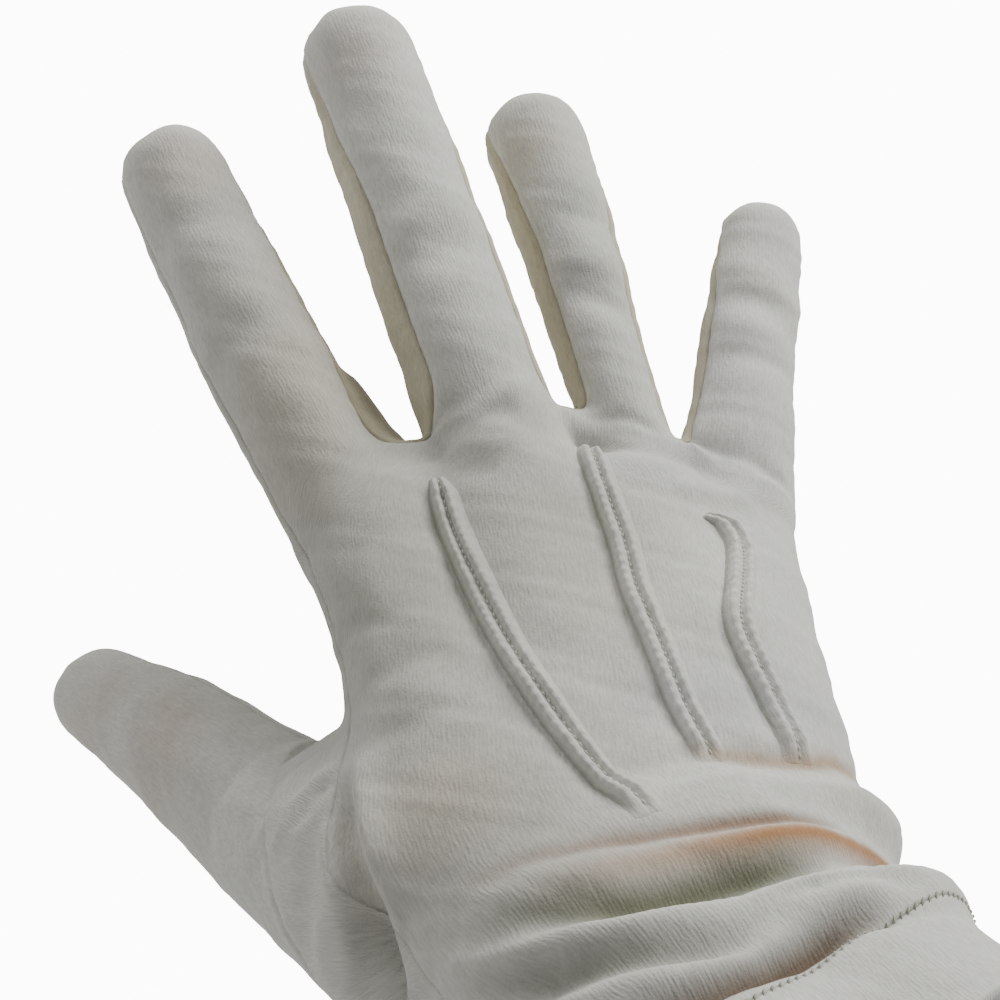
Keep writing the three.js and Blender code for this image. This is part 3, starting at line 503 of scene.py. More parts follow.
def hand_ray(face, across, along):
    """Ray of the cuff and palm. along is in mm below zero in the cuff, and a share of the palm above it. The ray
    goes half round the hand with across. Its start runs straight up the cuff, round the wrist on a curve
    through two blends, and straight to the fingers' base line."""
    turn = np.radians((across - 0.5) * 180)
    sn, cs = np.sin(turn), np.cos(turn) * face
    flat = np.zeros_like(sn)

    def in_cuff(distance):
        slant = HEM_SLANT * CUFF_BREADTH / 2 * sn * smooth(distance / CUFF_LENGTH)
        start = np.stack([CUFF_OFFSET * sn, CUFF_LENGTH - distance + slant, flat], axis=-1)
        return start, np.stack([sn, flat, cs], axis=-1)

    wrist_start = palm_vector(np.stack([CUFF_OFFSET * sn, flat, flat], axis=-1)) + WRIST
    wrist_way = palm_vector(np.stack([sn, flat, cs], axis=-1))
    base_start, base_way = base_ray(face, across)
    soft_start, soft_way = soft_base_ray(face, across)

    def in_palm(share):
        share = share[..., None]
        last = smooth((share - BASE_LINE_FROM) / (1 - BASE_LINE_FROM))
        start, way = mix(soft_start, base_start, last), mix(soft_way, base_way, last)
        return mix(wrist_start, start, share), unit(mix(wrist_way, way, smooth(share)))

    bend = WRIST_BEND_LENGTH / 2
    length = np.linalg.norm(wrist_start - base_start, axis=-1)
    at = np.where(along > 0, along * length, along)
    low_start, low_way = in_cuff(np.full_like(at, bend))
    high_start, high_way = in_palm(bend / length)
    t = np.clip((at + bend) / WRIST_BEND_LENGTH, 0, 1)[..., None]
    knee = mix(mix(low_start, high_start, 0.5), wrist_start, WRIST_KNEE)
    start = mix(mix(low_start, knee, t), mix(knee, high_start, t), t)
    way = unit(mix(low_way, high_way, smooth(t)))
    cuff_start, cuff_way = in_cuff(np.maximum(-at, bend))
    palm_start, palm_way = in_palm(np.maximum(at, bend) / length)
    below, over = (at < -bend)[..., None], (at > bend)[..., None]
    start = np.where(below, cuff_start, np.where(over, palm_start, start))
    return start, np.where(below, cuff_way, np.where(over, palm_way, way))


def thumb_ray(turn, reach):
    """Ray of the thumb: turn goes once round it, reach is the distance from its root in mm."""
    centre, ahead, side, up = chain_frame(THUMB_CHAIN, np.minimum(reach, THUMB_CHAIN["total"]))
    angle = (turn * 2 * np.pi)[..., None]
    return centre, tipped(side * np.sin(angle) + up * np.cos(angle), ahead, reach, THUMB_CHAIN)


# Folds of the wrist and cuff, each a line in the chart round the hand. around is 0 at the index side seam,
# 1 at the little finger side seam and 2 at the index side seam again. place is the distance from the wrist
# in mm, up the palm above zero and down the cuff below it. height is in mm, and below zero is a valley.
# before and beyond are the fold's half widths on its cuff side and its finger side in mm. lean is how far
# the crest tips towards the fingers, as a share of its height.
FOLDS = [
    {"around": (0.4, 0.52, 0.62, 0.76, 0.99, 1.15), "place": (14, 17.5, 20.3, 21.5, 32, 35),
     "height": (0, -0.5, -0.8, -0.9, -0.3, 0), "before": 1.8, "beyond": 3, "lean": 0},
    {"around": (0.36, 0.51, 0.62, 0.75, 0.94, 1.1, 1.3), "place": (8, 8.5, 9.5, 10.5, 16.5, 18, 18),
     "height": (0, 0.9, 1.5, 2.0, 3.0, 2.4, 0), "before": 7, "beyond": 4.5, "lean": 0.5},
    {"around": (0.08, 0.22, 0.36, 0.48, 0.58, 0.68, 0.82, 1.0), "place": (5, 3, -0.2, -2, -4.7, -5.5, -3, 0),
     "height": (0, -0.2, -0.6, -1.0, -1.2, -0.9, 0, 0), "before": 2.4, "beyond": 3, "lean": 0},
    {"around": (0.12, 0.27, 0.39, 0.52, 0.63, 0.74), "place": (1, -2.5, -6.5, -8.5, -10.5, -9),
     "height": (0, 0.15, 0.3, 0.5, 0.4, 0), "before": 3.2, "beyond": 3.6, "lean": 0},
    {"around": (0.08, 0.22, 0.31, 0.39, 0.51, 0.62, 0.76, 0.95, 1.15),
     "place": (0, -6.2, -10.6, -15, -16.6, -19, -18, -12, -8),
     "height": (0, -0.6, -1.6, -2.8, -3.4, -3.2, -2.6, -2.0, 0), "before": 3.0, "beyond": 3.6, "lean": 0},
    {"around": (-0.1, 0.04, 0.16, 0.29, 0.36, 0.44, 0.56, 0.66, 0.8, 1.0, 1.2),
     "place": (5, -0.4, -8, -15.2, -20.7, -24.3, -28, -32.5, -34, -31, -27),
     "height": (0, 0.5, 0.9, 1.5, 2.2, 2.5, 2.8, 3.0, 3.1, 2.2, 0), "before": 3.8, "beyond": 2.2, "lean": 0.5},
    {"around": (0.66, 0.76, 0.92, 1.12), "place": (-36, -38, -36, -32),
     "height": (0, 1.2, 1.4, 0), "before": 5, "beyond": 5, "lean": 0},
    {"around": (0.5, 0.57, 0.64, 0.72), "place": (-27, -29.5, -33, -38),
     "height": (0, -1.1, -1.1, 0), "before": 1.1, "beyond": 1.3, "lean": 0},
    {"around": (-0.12, 0.01, 0.1, 0.2, 0.3, 0.4, 0.48), "place": (1, -4.5, -8.8, -14.5, -21.5, -28, -31),
     "height": (0, -0.6, -1.0, -1.7, -2.5, -2.4, 0), "before": 2.0, "beyond": 2.2, "lean": 0},
    {"around": (0.0, 0.12, 0.24, 0.33, 0.42, 0.55, 0.68), "place": (-10, -16, -21.5, -27, -31.2, -32.6, -36.5),
     "height": (0, 0.6, 1.0, 1.1, 0.9, 0.3, 0), "before": 2.2, "beyond": 2.0, "lean": 0.3},
    {"around": (0.2, 0.28, 0.34, 0.43, 0.55, 0.62, 0.74), "place": (-27, -30.5, -32.8, -34.6, -35.6, -38, -42),
     "height": (0, -1.3, -2.4, -2.8, -2.6, -1.5, 0), "before": 1.5, "beyond": 2.2, "lean": 0},
    {"around": (0.05, 0.2, 0.34), "place": (-24, -33, -40),
     "height": (0, 0.7, 0), "before": 2.4, "beyond": 2.4, "lean": 0},
    {"around": (1.05, 1.3, 1.6), "place": (-14, -16, -12),
     "height": (0, -1.6, 0), "before": 3.5, "beyond": 3.5, "lean": 0},
    {"around": (1.1, 1.35, 1.62), "place": (-4, 3, 8),
     "height": (0, 1.8, 0), "before": 4, "beyond": 3, "lean": 0.3},
    {"around": (1.2, 1.5, 1.8), "place": (-27, -26, -22),
     "height": (0, 2.0, 0), "before": 4.5, "beyond": 3.5, "lean": 0.3},
    {"around": (1.7, 1.9, 2.15), "place": (-12, -15, -18),
     "height": (0, 1.4, 0), "before": 4, "beyond": 3, "lean": 0.2},
]

# Painted shade in the valleys of the wrist's folds, dark tints from warm brown to grey-green, laid out as
# the folds are. strength goes from 0 to 1 along the line, and width is the half width in mm.
FOLD_VALLEY_SHADE = [
    {"around": (0.58, 0.66, 0.78, 0.9, 1.0), "place": (20.6, 21.6, 22.6, 28.5, 33.5),
     "strength": (0, 0.6, 0.7, 0.8, 0.3), "width": 1.7, "colour": "#d2aa84"},
    {"around": (0.14, 0.3, 0.45, 0.58, 0.68, 0.8), "place": (4, 1.4, -1.2, -3.4, -4.4, -3),
     "strength": (0, 0.4, 0.8, 0.95, 0.9, 0), "width": 2.2, "colour": "#ba9a86"},
    {"around": (0.28, 0.4, 0.51, 0.62, 0.76, 0.92, 1.02), "place": (-4.5, -7.5, -9, -12, -12, -6, -3),
     "strength": (0, 0.4, 0.7, 1, 1, 1, 0.8), "width": 3.4, "colour": "#cf9664"},
    {"around": (0.16, 0.25, 0.31, 0.39, 0.51, 0.6, 0.7), "place": (-2, -6.5, -9.5, -13.6, -15.4, -17.6, -20),
     "strength": (0, 0.4, 0.8, 1, 1, 0.9, 0), "width": 3.2, "colour": "#8b8d79"},
    {"around": (0.08, 0.2, 0.3, 0.4, 0.48), "place": (-8, -14.5, -21.5, -28, -31),
     "strength": (0, 0.5, 0.6, 0.6, 0), "width": 2.2, "colour": "#adaea4"},
    {"around": (0.26, 0.34, 0.43, 0.55, 0.64), "place": (-29.5, -32.6, -34.4, -35.2, -38),
     "strength": (0.6, 0.9, 1, 0.9, 0), "width": 2.0, "colour": "#806c5a"},
    {"around": (0.66, 0.74, 0.84), "place": (-29.3, -30.5, -31),
     "strength": (0, 0.8, 0), "width": 1.2, "colour": "#d9a97e"},
]

# Faint patches of colour on the cloth: the first six, grey, are painted shade, and the pink, warm and lavender
# ones are faint tints. Places across and along the palm in mm, their half sizes in mm
SHADE_AND_TINT_PATCHES = [
    {"at": (-24, 66), "reach": (20, 38), "colour": "#b6b5ab", "strength": 0.75},
    {"at": (-36, 106), "reach": (15, 24), "colour": "#c6c3b8", "strength": 0.5},
    {"at": (3, 74), "reach": (13, 24), "colour": "#cdcdc3", "strength": 0.55},
    {"at": (-17, 6), "reach": (17, 22), "colour": "#b6b3a8", "strength": 0.65},
    {"at": (14, 142), "reach": (10, 40), "colour": "#d2d4cd", "strength": 0.5},
    {"at": (-46, 142), "reach": (12, 22), "colour": "#d8d8d2", "strength": 0.4},
    {"at": (-50, 163), "reach": (8, 9), "colour": "#e8ccbc", "strength": 0.4},
    {"at": (-20, 174), "reach": (7, 8), "colour": "#ecd4cc", "strength": 0.35},
    {"at": (10.5, 164), "reach": (6, 7), "colour": "#ecd4c8", "strength": 0.35},
    {"at": (50, 140), "reach": (5, 6), "colour": "#e4dcf0", "strength": 0.4},
    {"at": (-71, 92), "reach": (7, 6), "colour": "#e6cabc", "strength": 0.4},
    {"at": (-59, 74), "reach": (6, 12), "colour": "#e4c8b8", "strength": 0.45},
    {"at": (-33, 118), "reach": (12, 26), "colour": "#efe2cc", "strength": 0.35},
    {"at": (22, 88), "reach": (12, 7), "colour": "#dfdcf2", "strength": 0.35},
    {"at": (18, 32), "reach": (16, 7), "colour": "#dfdef2", "strength": 0.3},
    {"at": (34, 115), "reach": (9, 18), "colour": "#e6e2f2", "strength": 0.3},
    {"at": (10, 128), "reach": (8, 22), "colour": "#e6e2f0", "strength": 0.25},
    {"at": (-24, 20), "reach": (12, 10), "colour": "#ead6bc", "strength": 0.3},
    {"at": (2, 52), "reach": (6, 16), "colour": "#ecdcc8", "strength": 0.25},
]

# Creases of the back and the thumb's root: lines of places across and along the palm in mm, with the
# crease's half width, or its two half widths to the right and left of the line's way, and its depth in mm.
# Below zero is a valley.
CREASES = [
    {"line": ((-34.6, 35), (-34.8, 24), (-34.8, 19), (-34, 13), (-32.2, 7), (-30, 0), (-28, -7)),
     "width": (2.2, 0.9), "depth": -2.9},
    {"line": ((-32.6, 38), (-32.8, 24), (-32.8, 19), (-32, 13), (-30, 6), (-27.6, -2), (-25, -9)),
     "width": (0.9, 2.8), "depth": 1.2},
    {"line": ((-35.6, 33), (-36.8, 27), (-37.6, 20), (-37, 13), (-35, 6), (-33, 0)), "width": 1.6, "depth": 1.2},
    {"line": ((-37.4, 31), (-39.8, 26), (-41, 19), (-41, 12)), "width": 1.7, "depth": -0.8},
    {"line": ((-34.8, 40), (-38, 38.2), (-41, 36.4), (-45, 31)), "width": 1.5, "depth": 0.8},
    {"line": ((-36, 36.4), (-39, 34.4), (-42, 31)), "width": 1.3, "depth": -0.6},
    {"line": ((-41, 57), (-45.4, 48), (-47, 38)), "width": 2.2, "depth": -0.5},
    {"line": ((-50, 56), (-49, 43), (-46.5, 34)), "width": 2.5, "depth": 0.4},
    {"line": ((-15, 100), (-7, 98), (0, 98.5)), "width": 2.2, "depth": -0.6},
    {"line": ((-14, 96), (-6, 92.5), (1, 92.5)), "width": 1.8, "depth": 0.35},
    {"line": ((-12, 91), (-6, 86)), "width": 1.6, "depth": -0.3},
    {"line": ((9, 103), (16, 100.5), (23, 97)), "width": 1.3, "depth": -0.6},
    {"line": ((28, 90), (34, 86.5), (42, 87)), "width": 1.3, "depth": -0.6},
    {"line": ((20, 80), (27, 81), (34, 80)), "width": 2.2, "depth": 0.6},
    {"line": ((-34, 62), (-27, 58.5), (-18, 59)), "width": 2.6, "depth": -0.35},
    {"line": ((-33, 48), (-25, 47), (-16, 49)), "width": 2.6, "depth": -0.4},
    {"line": ((-32, 37), (-25, 34.5), (-15, 36)), "width": 2.6, "depth": -0.4},
    {"line": ((-28, 74), (-22, 77), (-15, 80)), "width": 2.6, "depth": -0.3},
]

# Dents over the finger joints: finger, place from its base line as a share of its length, slope across it,
# width as a share of the length, depth as a share of the finger thickness
DENTS = [
    {"finger": 0, "at": 0.36, "slope": 0.04, "width": 0.05, "depth": -0.035},
    {"finger": 0, "at": 0.68, "slope": -0.03, "width": 0.05, "depth": -0.03},
    {"finger": 1, "at": 0.05, "slope": 0.05, "width": 0.05, "depth": -0.05},
    {"finger": 1, "at": 0.34, "slope": -0.05, "width": 0.05, "depth": -0.05},
    {"finger": 1, "at": 0.43, "slope": 0.03, "width": 0.04, "depth": 0.03},
    {"finger": 2, "at": 0.34, "slope": -0.06, "width": 0.05, "depth": -0.06},
    {"finger": 2, "at": 0.44, "slope": 0.02, "width": 0.045, "depth": 0.035},
    {"finger": 2, "at": 0.56, "slope": 0.05, "width": 0.05, "depth": -0.05},
    {"finger": 3, "at": 0.02, "slope": -0.05, "width": 0.06, "depth": -0.07},
    {"finger": 3, "at": 0.38, "slope": 0.03, "width": 0.06, "depth": -0.05},
    {"finger": 3, "at": 0.56, "slope": -0.03, "width": 0.06, "depth": -0.05},
]

# Tucks: the places on each line in the palm's frame, as shares of the hand's breadth and length
TUCKS = {
    "index": {"across": (-0.176, -0.163, -0.148, -0.123, -0.093, -0.05, -0.008, 0.03),
              "along": (0.48, 0.412, 0.35, 0.267, 0.2, 0.128, 0.07, 0.022)},
    "middle": {"across": (0.107, 0.109, 0.115, 0.112, 0.122, 0.134, 0.154, 0.16),
               "along": (0.505, 0.428, 0.354, 0.291, 0.231, 0.16, 0.11, 0.095)},
    "ring": {"across": (0.276, 0.315, 0.326, 0.298, 0.271, 0.274, 0.286, 0.3, 0.307),
             "along": (0.394, 0.38, 0.35, 0.298, 0.252, 0.214, 0.175, 0.125, 0.102)},
}


def beside_line(line, values, places):
    """Signed distance from a bent line, positive to the left of its way, and its values at the nearest place."""
    away = np.full(places.shape[:-1], np.inf)
    side, value = np.zeros_like(away), np.zeros_like(away)
    for a, b, low, high in zip(line[:-1], line[1:], values[:-1], values[1:]):
        step, off = b - a, places - a
        h = np.clip(off @ step / (step @ step), 0, 1)
        d = np.linalg.norm(off - h[..., None] * step, axis=-1)
        nearer = d < away
        side = np.where(nearer, np.sign(step[0] * off[..., 1] - step[1] * off[..., 0]), side)
        value = np.where(nearer, low + (high - low) * h, value)
        away = np.minimum(away, d)
    return away * side, value


def chart_bump(row, values, before, beyond, around, place):
    """A line's values in the chart round the hand, times exp(-(d / width)^2) of the distance d from it."""
    line = np.stack([np.array(row["around"]) * CUFF_BREADTH, row["place"], values], -1)
    line = curve_through(line, 4 * len(line))[0]
    bump = 0
    for lap in (-2, 0, 2):
        places = np.stack([(around + lap) * CUFF_BREADTH, place], -1)
        away, value = beside_line(line[:, :2], line[:, 2], places)
        bump = bump + value * np.exp(-(away / np.where(away > 0, beyond, before)) ** 2)
    return bump


def line_bump(line, before, beyond, places):
    """Bell curve exp(-(d / width)^2) round a bent line in the palm's plane, fading out at its two ends. The
    width is beyond on the left of the line's way and before on its right."""
    line = np.asarray(line, float)
    run = np.concatenate([[0], np.cumsum(np.linalg.norm(np.diff(line, axis=0), axis=1))])
    share = run / run[-1]
    away, share = beside_line(line, share, places)
    width = np.where(away > 0, beyond, before)
    return np.exp(-(away / width) ** 2) * smooth(np.minimum(share, 1 - share) / 0.2)


def crease_height(points, normals):
    """Sum of the creases and the valleys beside the tucks, on cloth that faces out of the back of the hand."""
    places = in_palm_plane(points)[..., :2]
    height = np.zeros(points.shape[:-1])
    for row in CREASES:
        height += row["depth"] * line_bump(row["line"], *np.broadcast_to(row["width"], 2), places)
    for name in TUCKS:
        line, right, _ = tuck_line(name, 24)
        line = line - right * TUCK_VALLEY_PLACE * TUCK_HALF_WIDTH
        height -= TUCK_VALLEY * line_bump(line, TUCK_VALLEY_WIDTH, TUCK_VALLEY_WIDTH, places)
    return height * smooth((normals @ PALM_AXES[:, 2] + 0.5) / 0.6)


def cloth_waver(points):
    """Slack of the cloth: a sum of sines, each across its own direction and bent by a slower sine."""
    height = 0
    for wave, heading, phase in WAVER:
        way = np.array([np.cos(heading), np.sin(heading) * 0.6, np.sin(heading * 1.7)])
        height = height + np.sin(points @ way * 2 * np.pi / wave + phase
                                 + 1.5 * np.sin(points @ way[::-1] * 2 * np.pi / (2.3 * wave))) * wave
    return height * WAVER_SHARE


def dent_height(face, k, c, above):
    """Sum of a finger's dents on its back, fading out at its sides and its base line."""
    place = above / finger_span(k, c)
    height = np.zeros_like(place)
    for row in DENTS:
        if row["finger"] == k and face > 0:
            away = (place - row["at"] - row["slope"] * (c - 0.5)) / row["width"]
            height += row["depth"] * FINGER_THICKNESS * np.exp(-away * away)
    return height * np.sin(np.pi * c) * smooth(place / 0.05)


def tint_towards(tint, colour, share):
    """A tint drawn towards a colour by a share of its own at each place."""
    return mix(tint, np.array(linear(colour)[:3]), np.clip(share, 0, 1)[..., None])


def shade_and_tint_of_patches(points):
    """Tint of the faint patches, painted shade in the grey ones: each draws white towards its colour by a bell
    curve of the distance.
    """
    places = in_palm_plane(points)[..., :2]
    tint = np.ones(points.shape)
    for row in SHADE_AND_TINT_PATCHES:
        away = (((places - row["at"]) / row["reach"]) ** 2).sum(-1)
        tint = tint_towards(tint, row["colour"], row["strength"] * np.exp(-away))
    return tint


def fold_relief(around, place):
    """Height, lean and tint of the wrist's folds at places in the chart round the hand. The tint is painted shade
    in the folds' valleys.
    """
    height, lean, tint = 0, 0, np.ones(around.shape + (3,))
    for row in FOLDS:
        bump = chart_bump(row, row["height"], row["before"], row["beyond"], around, place)
        height = height + bump
        lean = lean + row["lean"] * bump
    # Painted shade: each valley's tint darkens the cloth along it
    for row in FOLD_VALLEY_SHADE:
        share = chart_bump(row, row["strength"], row["width"], row["width"], around, place)
        tint = tint_towards(tint, row["colour"], share)
    return height, lean, tint


def folded(points, around, place):
    """Points of the bare form raised by folds, creases and slack. Folds also lean towards the fingers."""
    normals = field_normal(points, hand_field)
    height, lean, tint = fold_relief(around, place)
    up_hand = palm_vector((0, 1, 0))
    ahead = unit(up_hand - normals * dot(normals, up_hand))
    height = height + crease_height(points, normals) + cloth_waver(points)
    return points + normals * height[..., None] + ahead * lean[..., None], normals, tint


def hand_surface(face, across, along):
    """Points, outward directions and tint of the cuff and palm: the bare form's points, then the folds."""
    points = cast(*hand_ray(face, across, along), hand_field)
    around = across if face > 0 else 2 - across
    return folded(points, around, np.where(along > 0, along * PALM_SPAN, along))


def digit_surface(face, k, c, above):
    """Points, outward directions and tint of a finger's back or palm side."""
    points = cast(*digit_ray(face, k, c, above), hand_field)
    normals = field_normal(points, hand_field)
    height = dent_height(face, k, c, above) + crease_height(points, normals) + cloth_waver(points)
    return points + normals * height[..., None], normals, np.ones_like(points)


def plain_surface(rays, field):
    """Points, outward directions and tint of a strip or the thumb."""
    points = cast(*rays, field)
    normals = field_normal(points, field)
    height = crease_height(points, normals) + cloth_waver(points)
    return points + normals * height[..., None], normals, np.ones_like(points)


def arcs(points, axis):
    """Running sum of the distances in mm between neighbours along the rows or columns of a grid of points."""
    steps = np.linalg.norm(np.diff(points, axis=axis), axis=-1)
    start = np.zeros_like(np.take(steps, [0], axis=axis))
    return np.concatenate([start, np.cumsum(steps, axis=axis)], axis=axis)


class Cloth:
    """A cloth surface gathered from grids of points, each with its place on the cloth in mm and its tint."""

    def __init__(self):
        self.points, self.normals, self.places, self.tints, self.faces = [], [], [], [], []
        self.count = 0

    def block(self, points, normals, places, tint):
        """Adds a grid of points and returns the grid of their numbers."""
        rows, columns = points.shape[:2]
        self.points.append(points.reshape(-1, 3))
        self.normals.append(normals.reshape(-1, 3))
        self.places.append(places.reshape(-1, 2))
        self.tints.append(tint.reshape(-1, 3))
        numbers = self.count + np.arange(rows * columns).reshape(rows, columns)
        self.count += rows * columns
        return numbers

    def sew(self, numbers, flip=False):
        """Faces between the neighbours of a grid of numbers. Corners that are one point make triangles."""
        a, b = numbers[:-1, :-1].ravel(), numbers[:-1, 1:].ravel()
        c, d = numbers[1:, 1:].ravel(), numbers[1:, :-1].ravel()
        quads = np.stack([a, d, c, b] if flip else [a, b, c, d], axis=1)
        three = c == d
        self.faces.append(quads[~three])
        if three.any():
            self.faces.append(np.stack([a, c, b] if flip else [a, b, c], axis=1)[three])

    def drop(self, gone):
        """Leaves out the faces with all their corners picked by a test."""
        points = np.concatenate(self.points)
        self.faces = [f[~gone(points[f]).all(1)] for f in self.faces]

    def roll_edges(self):
        """Sinks the cloth at its sewn edges: a bell-shaped groove with a low welt beside it that puckers. The
        side seams round the wrist lie flatter than those of the fingers."""
        points, normals = np.concatenate(self.points), np.concatenate(self.normals)
        lines = edge_lines(self.faces)
        away = edge_distance(points, points[lines[:, 0]], points[lines[:, 1]])
        along = np.concatenate(self.places)[:, 1]
        share = mix(SIDE_SEAM_SHARE, 1, smooth((in_palm_plane(points)[:, 1] - 60) / 30))
        pucker = 1 + PUCKER_SHARE * np.sin(along * 2 * np.pi / PUCKER_STEP)
        groove = -SEAM_DEPTH * np.exp(-(away / SEAM_HALF_WIDTH) ** 2)
        welt = SEAM_WELT * pucker * np.exp(-((away - 2 * SEAM_HALF_WIDTH) / SEAM_HALF_WIDTH) ** 2)
        self.points = [points + normals * ((groove + welt) * share)[:, None]]

    def piece(self, name, thickness):
        """Makes the Blender object: outer surface here, inner wall by a Solidify modifier, thickness in metres."""
        points = np.concatenate(self.points) * MM
        places = np.concatenate(self.places)
        # The tints hold painted shade in the fold valleys, at the tucks' left edges and grooves and in the grey
        # patches, with faint tints
        tints = np.concatenate(self.tints) * shade_and_tint_of_patches(np.concatenate(self.points))
        used = np.unique(np.concatenate([f.ravel() for f in self.faces]))
        renumber = np.full(len(points), -1)
        renumber[used] = np.arange(len(used))
        mesh = bpy.data.meshes.new(name)
        faces = [row for f in self.faces for row in renumber[f].tolist()]
        mesh.from_pydata(points[used], [], faces)
        corners = np.zeros(len(mesh.loops), np.int32)
        mesh.loops.foreach_get("vertex_index", corners)
        mesh.uv_layers.new(name="cloth_mm").data.foreach_set("uv", places[used][corners].astype(np.float32).ravel())
        stain = mesh.attributes.new("stain", "FLOAT_COLOR", "POINT")
        stain.data.foreach_set("color", np.c_[tints[used], np.ones(len(used))].astype(np.float32).ravel())
        mesh.polygons.foreach_set("use_smooth", np.ones(len(mesh.polygons), bool))
        mesh.update()
        piece = put_in_scene(name, mesh)
        if thickness:
            wall = piece.modifiers.new("wall", "SOLIDIFY")
            wall.thickness = thickness
            wall.offset = -1
        return piece


def put_in_scene(name, data):
    """An object with the given mesh, lamp or camera in the open scene."""
    thing = bpy.data.objects.new(name, data)
    bpy.context.scene.collection.objects.link(thing)
    return thing


def edge_lines(faces):
    """Ends of the edges that only one face has."""
    sides = []
    for f in faces:
        for a, b in zip(range(f.shape[1]), list(range(1, f.shape[1])) + [0]):
            sides.append(f[:, [a, b]])
    sides = np.concatenate(sides)
    sides = sides[sides[:, 0] != sides[:, 1]]
    _, first, count = np.unique(np.sort(sides, axis=1), axis=0, return_index=True, return_counts=True)
    return sides[first[count == 1]]


def edge_distance(points, starts, ends):
    """Distance in mm from each point to the nearest of the edge stretches, in slices that fit in memory."""
    steps = ends - starts
    spans = np.maximum((steps ** 2).sum(1), 1e-9)
    away = np.empty(len(points))
    size = 1500
    for low in range(0, len(points), size):
        part = points[low:low + size, None]
        h = np.clip(((part - starts) * steps).sum(-1) / spans, 0, 1)
        away[low:low + size] = np.sqrt(((part - starts - h[..., None] * steps) ** 2).sum(-1)).min(1)
    return away


def sheet_places(points, middle):
    """Places on the flat cloth in mm: arc lengths along each row from its middle, and along the middle column."""
    side = arcs(points, 1)
    side -= side[:, middle:middle + 1]
    return side, np.broadcast_to(arcs(points[:, middle:middle + 1], 0), side.shape)


def panel_cloth(face, columns, rows):
    """Back or palm panel: rows from the hem's line to the finger bases, then the rows of each finger up to the
    pole of its tip. rows gives the numbers of rows in the cuff, the palm and a finger."""
    cloth = Cloth()
    cuff_rows, palm_rows, finger_rows = rows
    along = np.concatenate([np.linspace(HEM_LINE, 0, cuff_rows, endpoint=False), np.linspace(0, 1, palm_rows)])
    across, along = np.meshgrid(np.linspace(0, 1, 4 * columns + 1), along)
    points, normals, tint = hand_surface(face, across, along)
    side, length = sheet_places(points, 2 * columns)
    numbers = cloth.block(points, normals, np.stack([side, length], -1), tint)
    cloth.sew(numbers, face < 0)
    for k in range(4):
        base = numbers[-1, k * columns:(k + 1) * columns + 1]
        share = np.linspace(0, 1, finger_rows + 1)[1:-1]
        c, share = np.meshgrid(np.linspace(0, 1, columns + 1), share)
        points, normals, tint = digit_surface(face, k, c, finger_span(k, c) * share)
        start = side[-1, k * columns + columns // 2]
        reach = np.concatenate([cloth.points[0][base[columns // 2]][None, None], points[:, [columns // 2]]])
        run = length[-1, 0] + arcs(reach, 0)[1:]
        spread = arcs(points, 1)
        spread -= spread[:, columns // 2:columns // 2 + 1]
        places = np.stack([start + spread, np.broadcast_to(run, spread.shape)], -1)
        rows = cloth.block(points, normals, places, tint)
        pole = digit_surface(face, k, np.full((1, 1), 0.5), np.array([[finger_span(k, 0.5)]]))
        tip = cloth.block(pole[0], pole[1], np.array([[[start, run[-1, 0] + 2.0]]]), pole[2])
        cloth.sew(np.concatenate([base[None], rows, np.full((1, columns + 1), tip[0, 0])]), face < 0)
    return cloth


def strip_cloth(k, columns, rows):
    """Strip between two fingers: down one finger's side, over the web and up the next one's, ending just short
    of the poles of the two tips."""
    cloth = Cloth()
    end = 0.985
    t, share = np.meshgrid(np.linspace(0, 1, columns + 1), np.linspace(end, 0, rows, endpoint=False))
    left = strip_ray(k, 0, t, finger_span(k, np.ones_like(t)) * share)
    t, share = np.meshgrid(np.linspace(0, 1, columns + 1), np.linspace(0, end, rows + 1))
    right = strip_ray(k, 1, t, finger_span(k + 1, np.zeros_like(t)) * share)
    rays = [np.concatenate(pair) for pair in zip(left, right)]
    points, normals, tint = plain_surface(rays, hand_field)
    places = np.stack(sheet_places(points, columns // 2), -1)
    cloth.sew(cloth.block(points, normals, places, tint), True)
    return cloth


def thumb_cloth(columns, rows):
    """Thumb: rings from a lap behind the seam's plane to the pole of the tip. Halving finds where each column
    starts, and past the seam's lap the cloth rises from under the palm's."""
    cloth = Cloth()
    turns = np.linspace(0, 1, columns, endpoint=False)[None]
    low, high = np.zeros_like(turns), np.full_like(turns, THUMB_CHAIN["total"])
    for _ in range(16):
        middle = (low + high) / 2
        past = past_seam(cast(*thumb_ray(turns, middle), thumb_field)) > -SEAM_LAP
        low, high = np.where(past, low, middle), np.where(past, middle, high)
    end = THUMB_CHAIN["total"] + THUMB_CHAIN["radii"][3]
    share = np.linspace(0, 1, rows, endpoint=False)[:, None]
    reach = high + (end - high) * share
    turn = np.broadcast_to(turns, reach.shape)
    points, normals, tint = plain_surface(thumb_ray(turn, reach), thumb_field)
    points = points - normals * (SEAM_SINK * smooth((SEAM_LAP / 2 - past_seam(points)) / SEAM_LAP))[..., None]
    places = np.stack([turn * 2 * np.pi * THUMB_CLOTH_RADIUS, reach], -1)
    numbers = cloth.block(points, normals, places, tint)
    pole = plain_surface(thumb_ray(np.zeros((1, 1)), np.full((1, 1), end)), whole_field)
    tip = cloth.block(pole[0], pole[1], np.array([[[0.0, end]]]), pole[2])
    numbers = np.concatenate([numbers, np.full((1, columns), tip[0, 0])])
    cloth.sew(np.concatenate([numbers, numbers[:, :1]], axis=1))
    return cloth


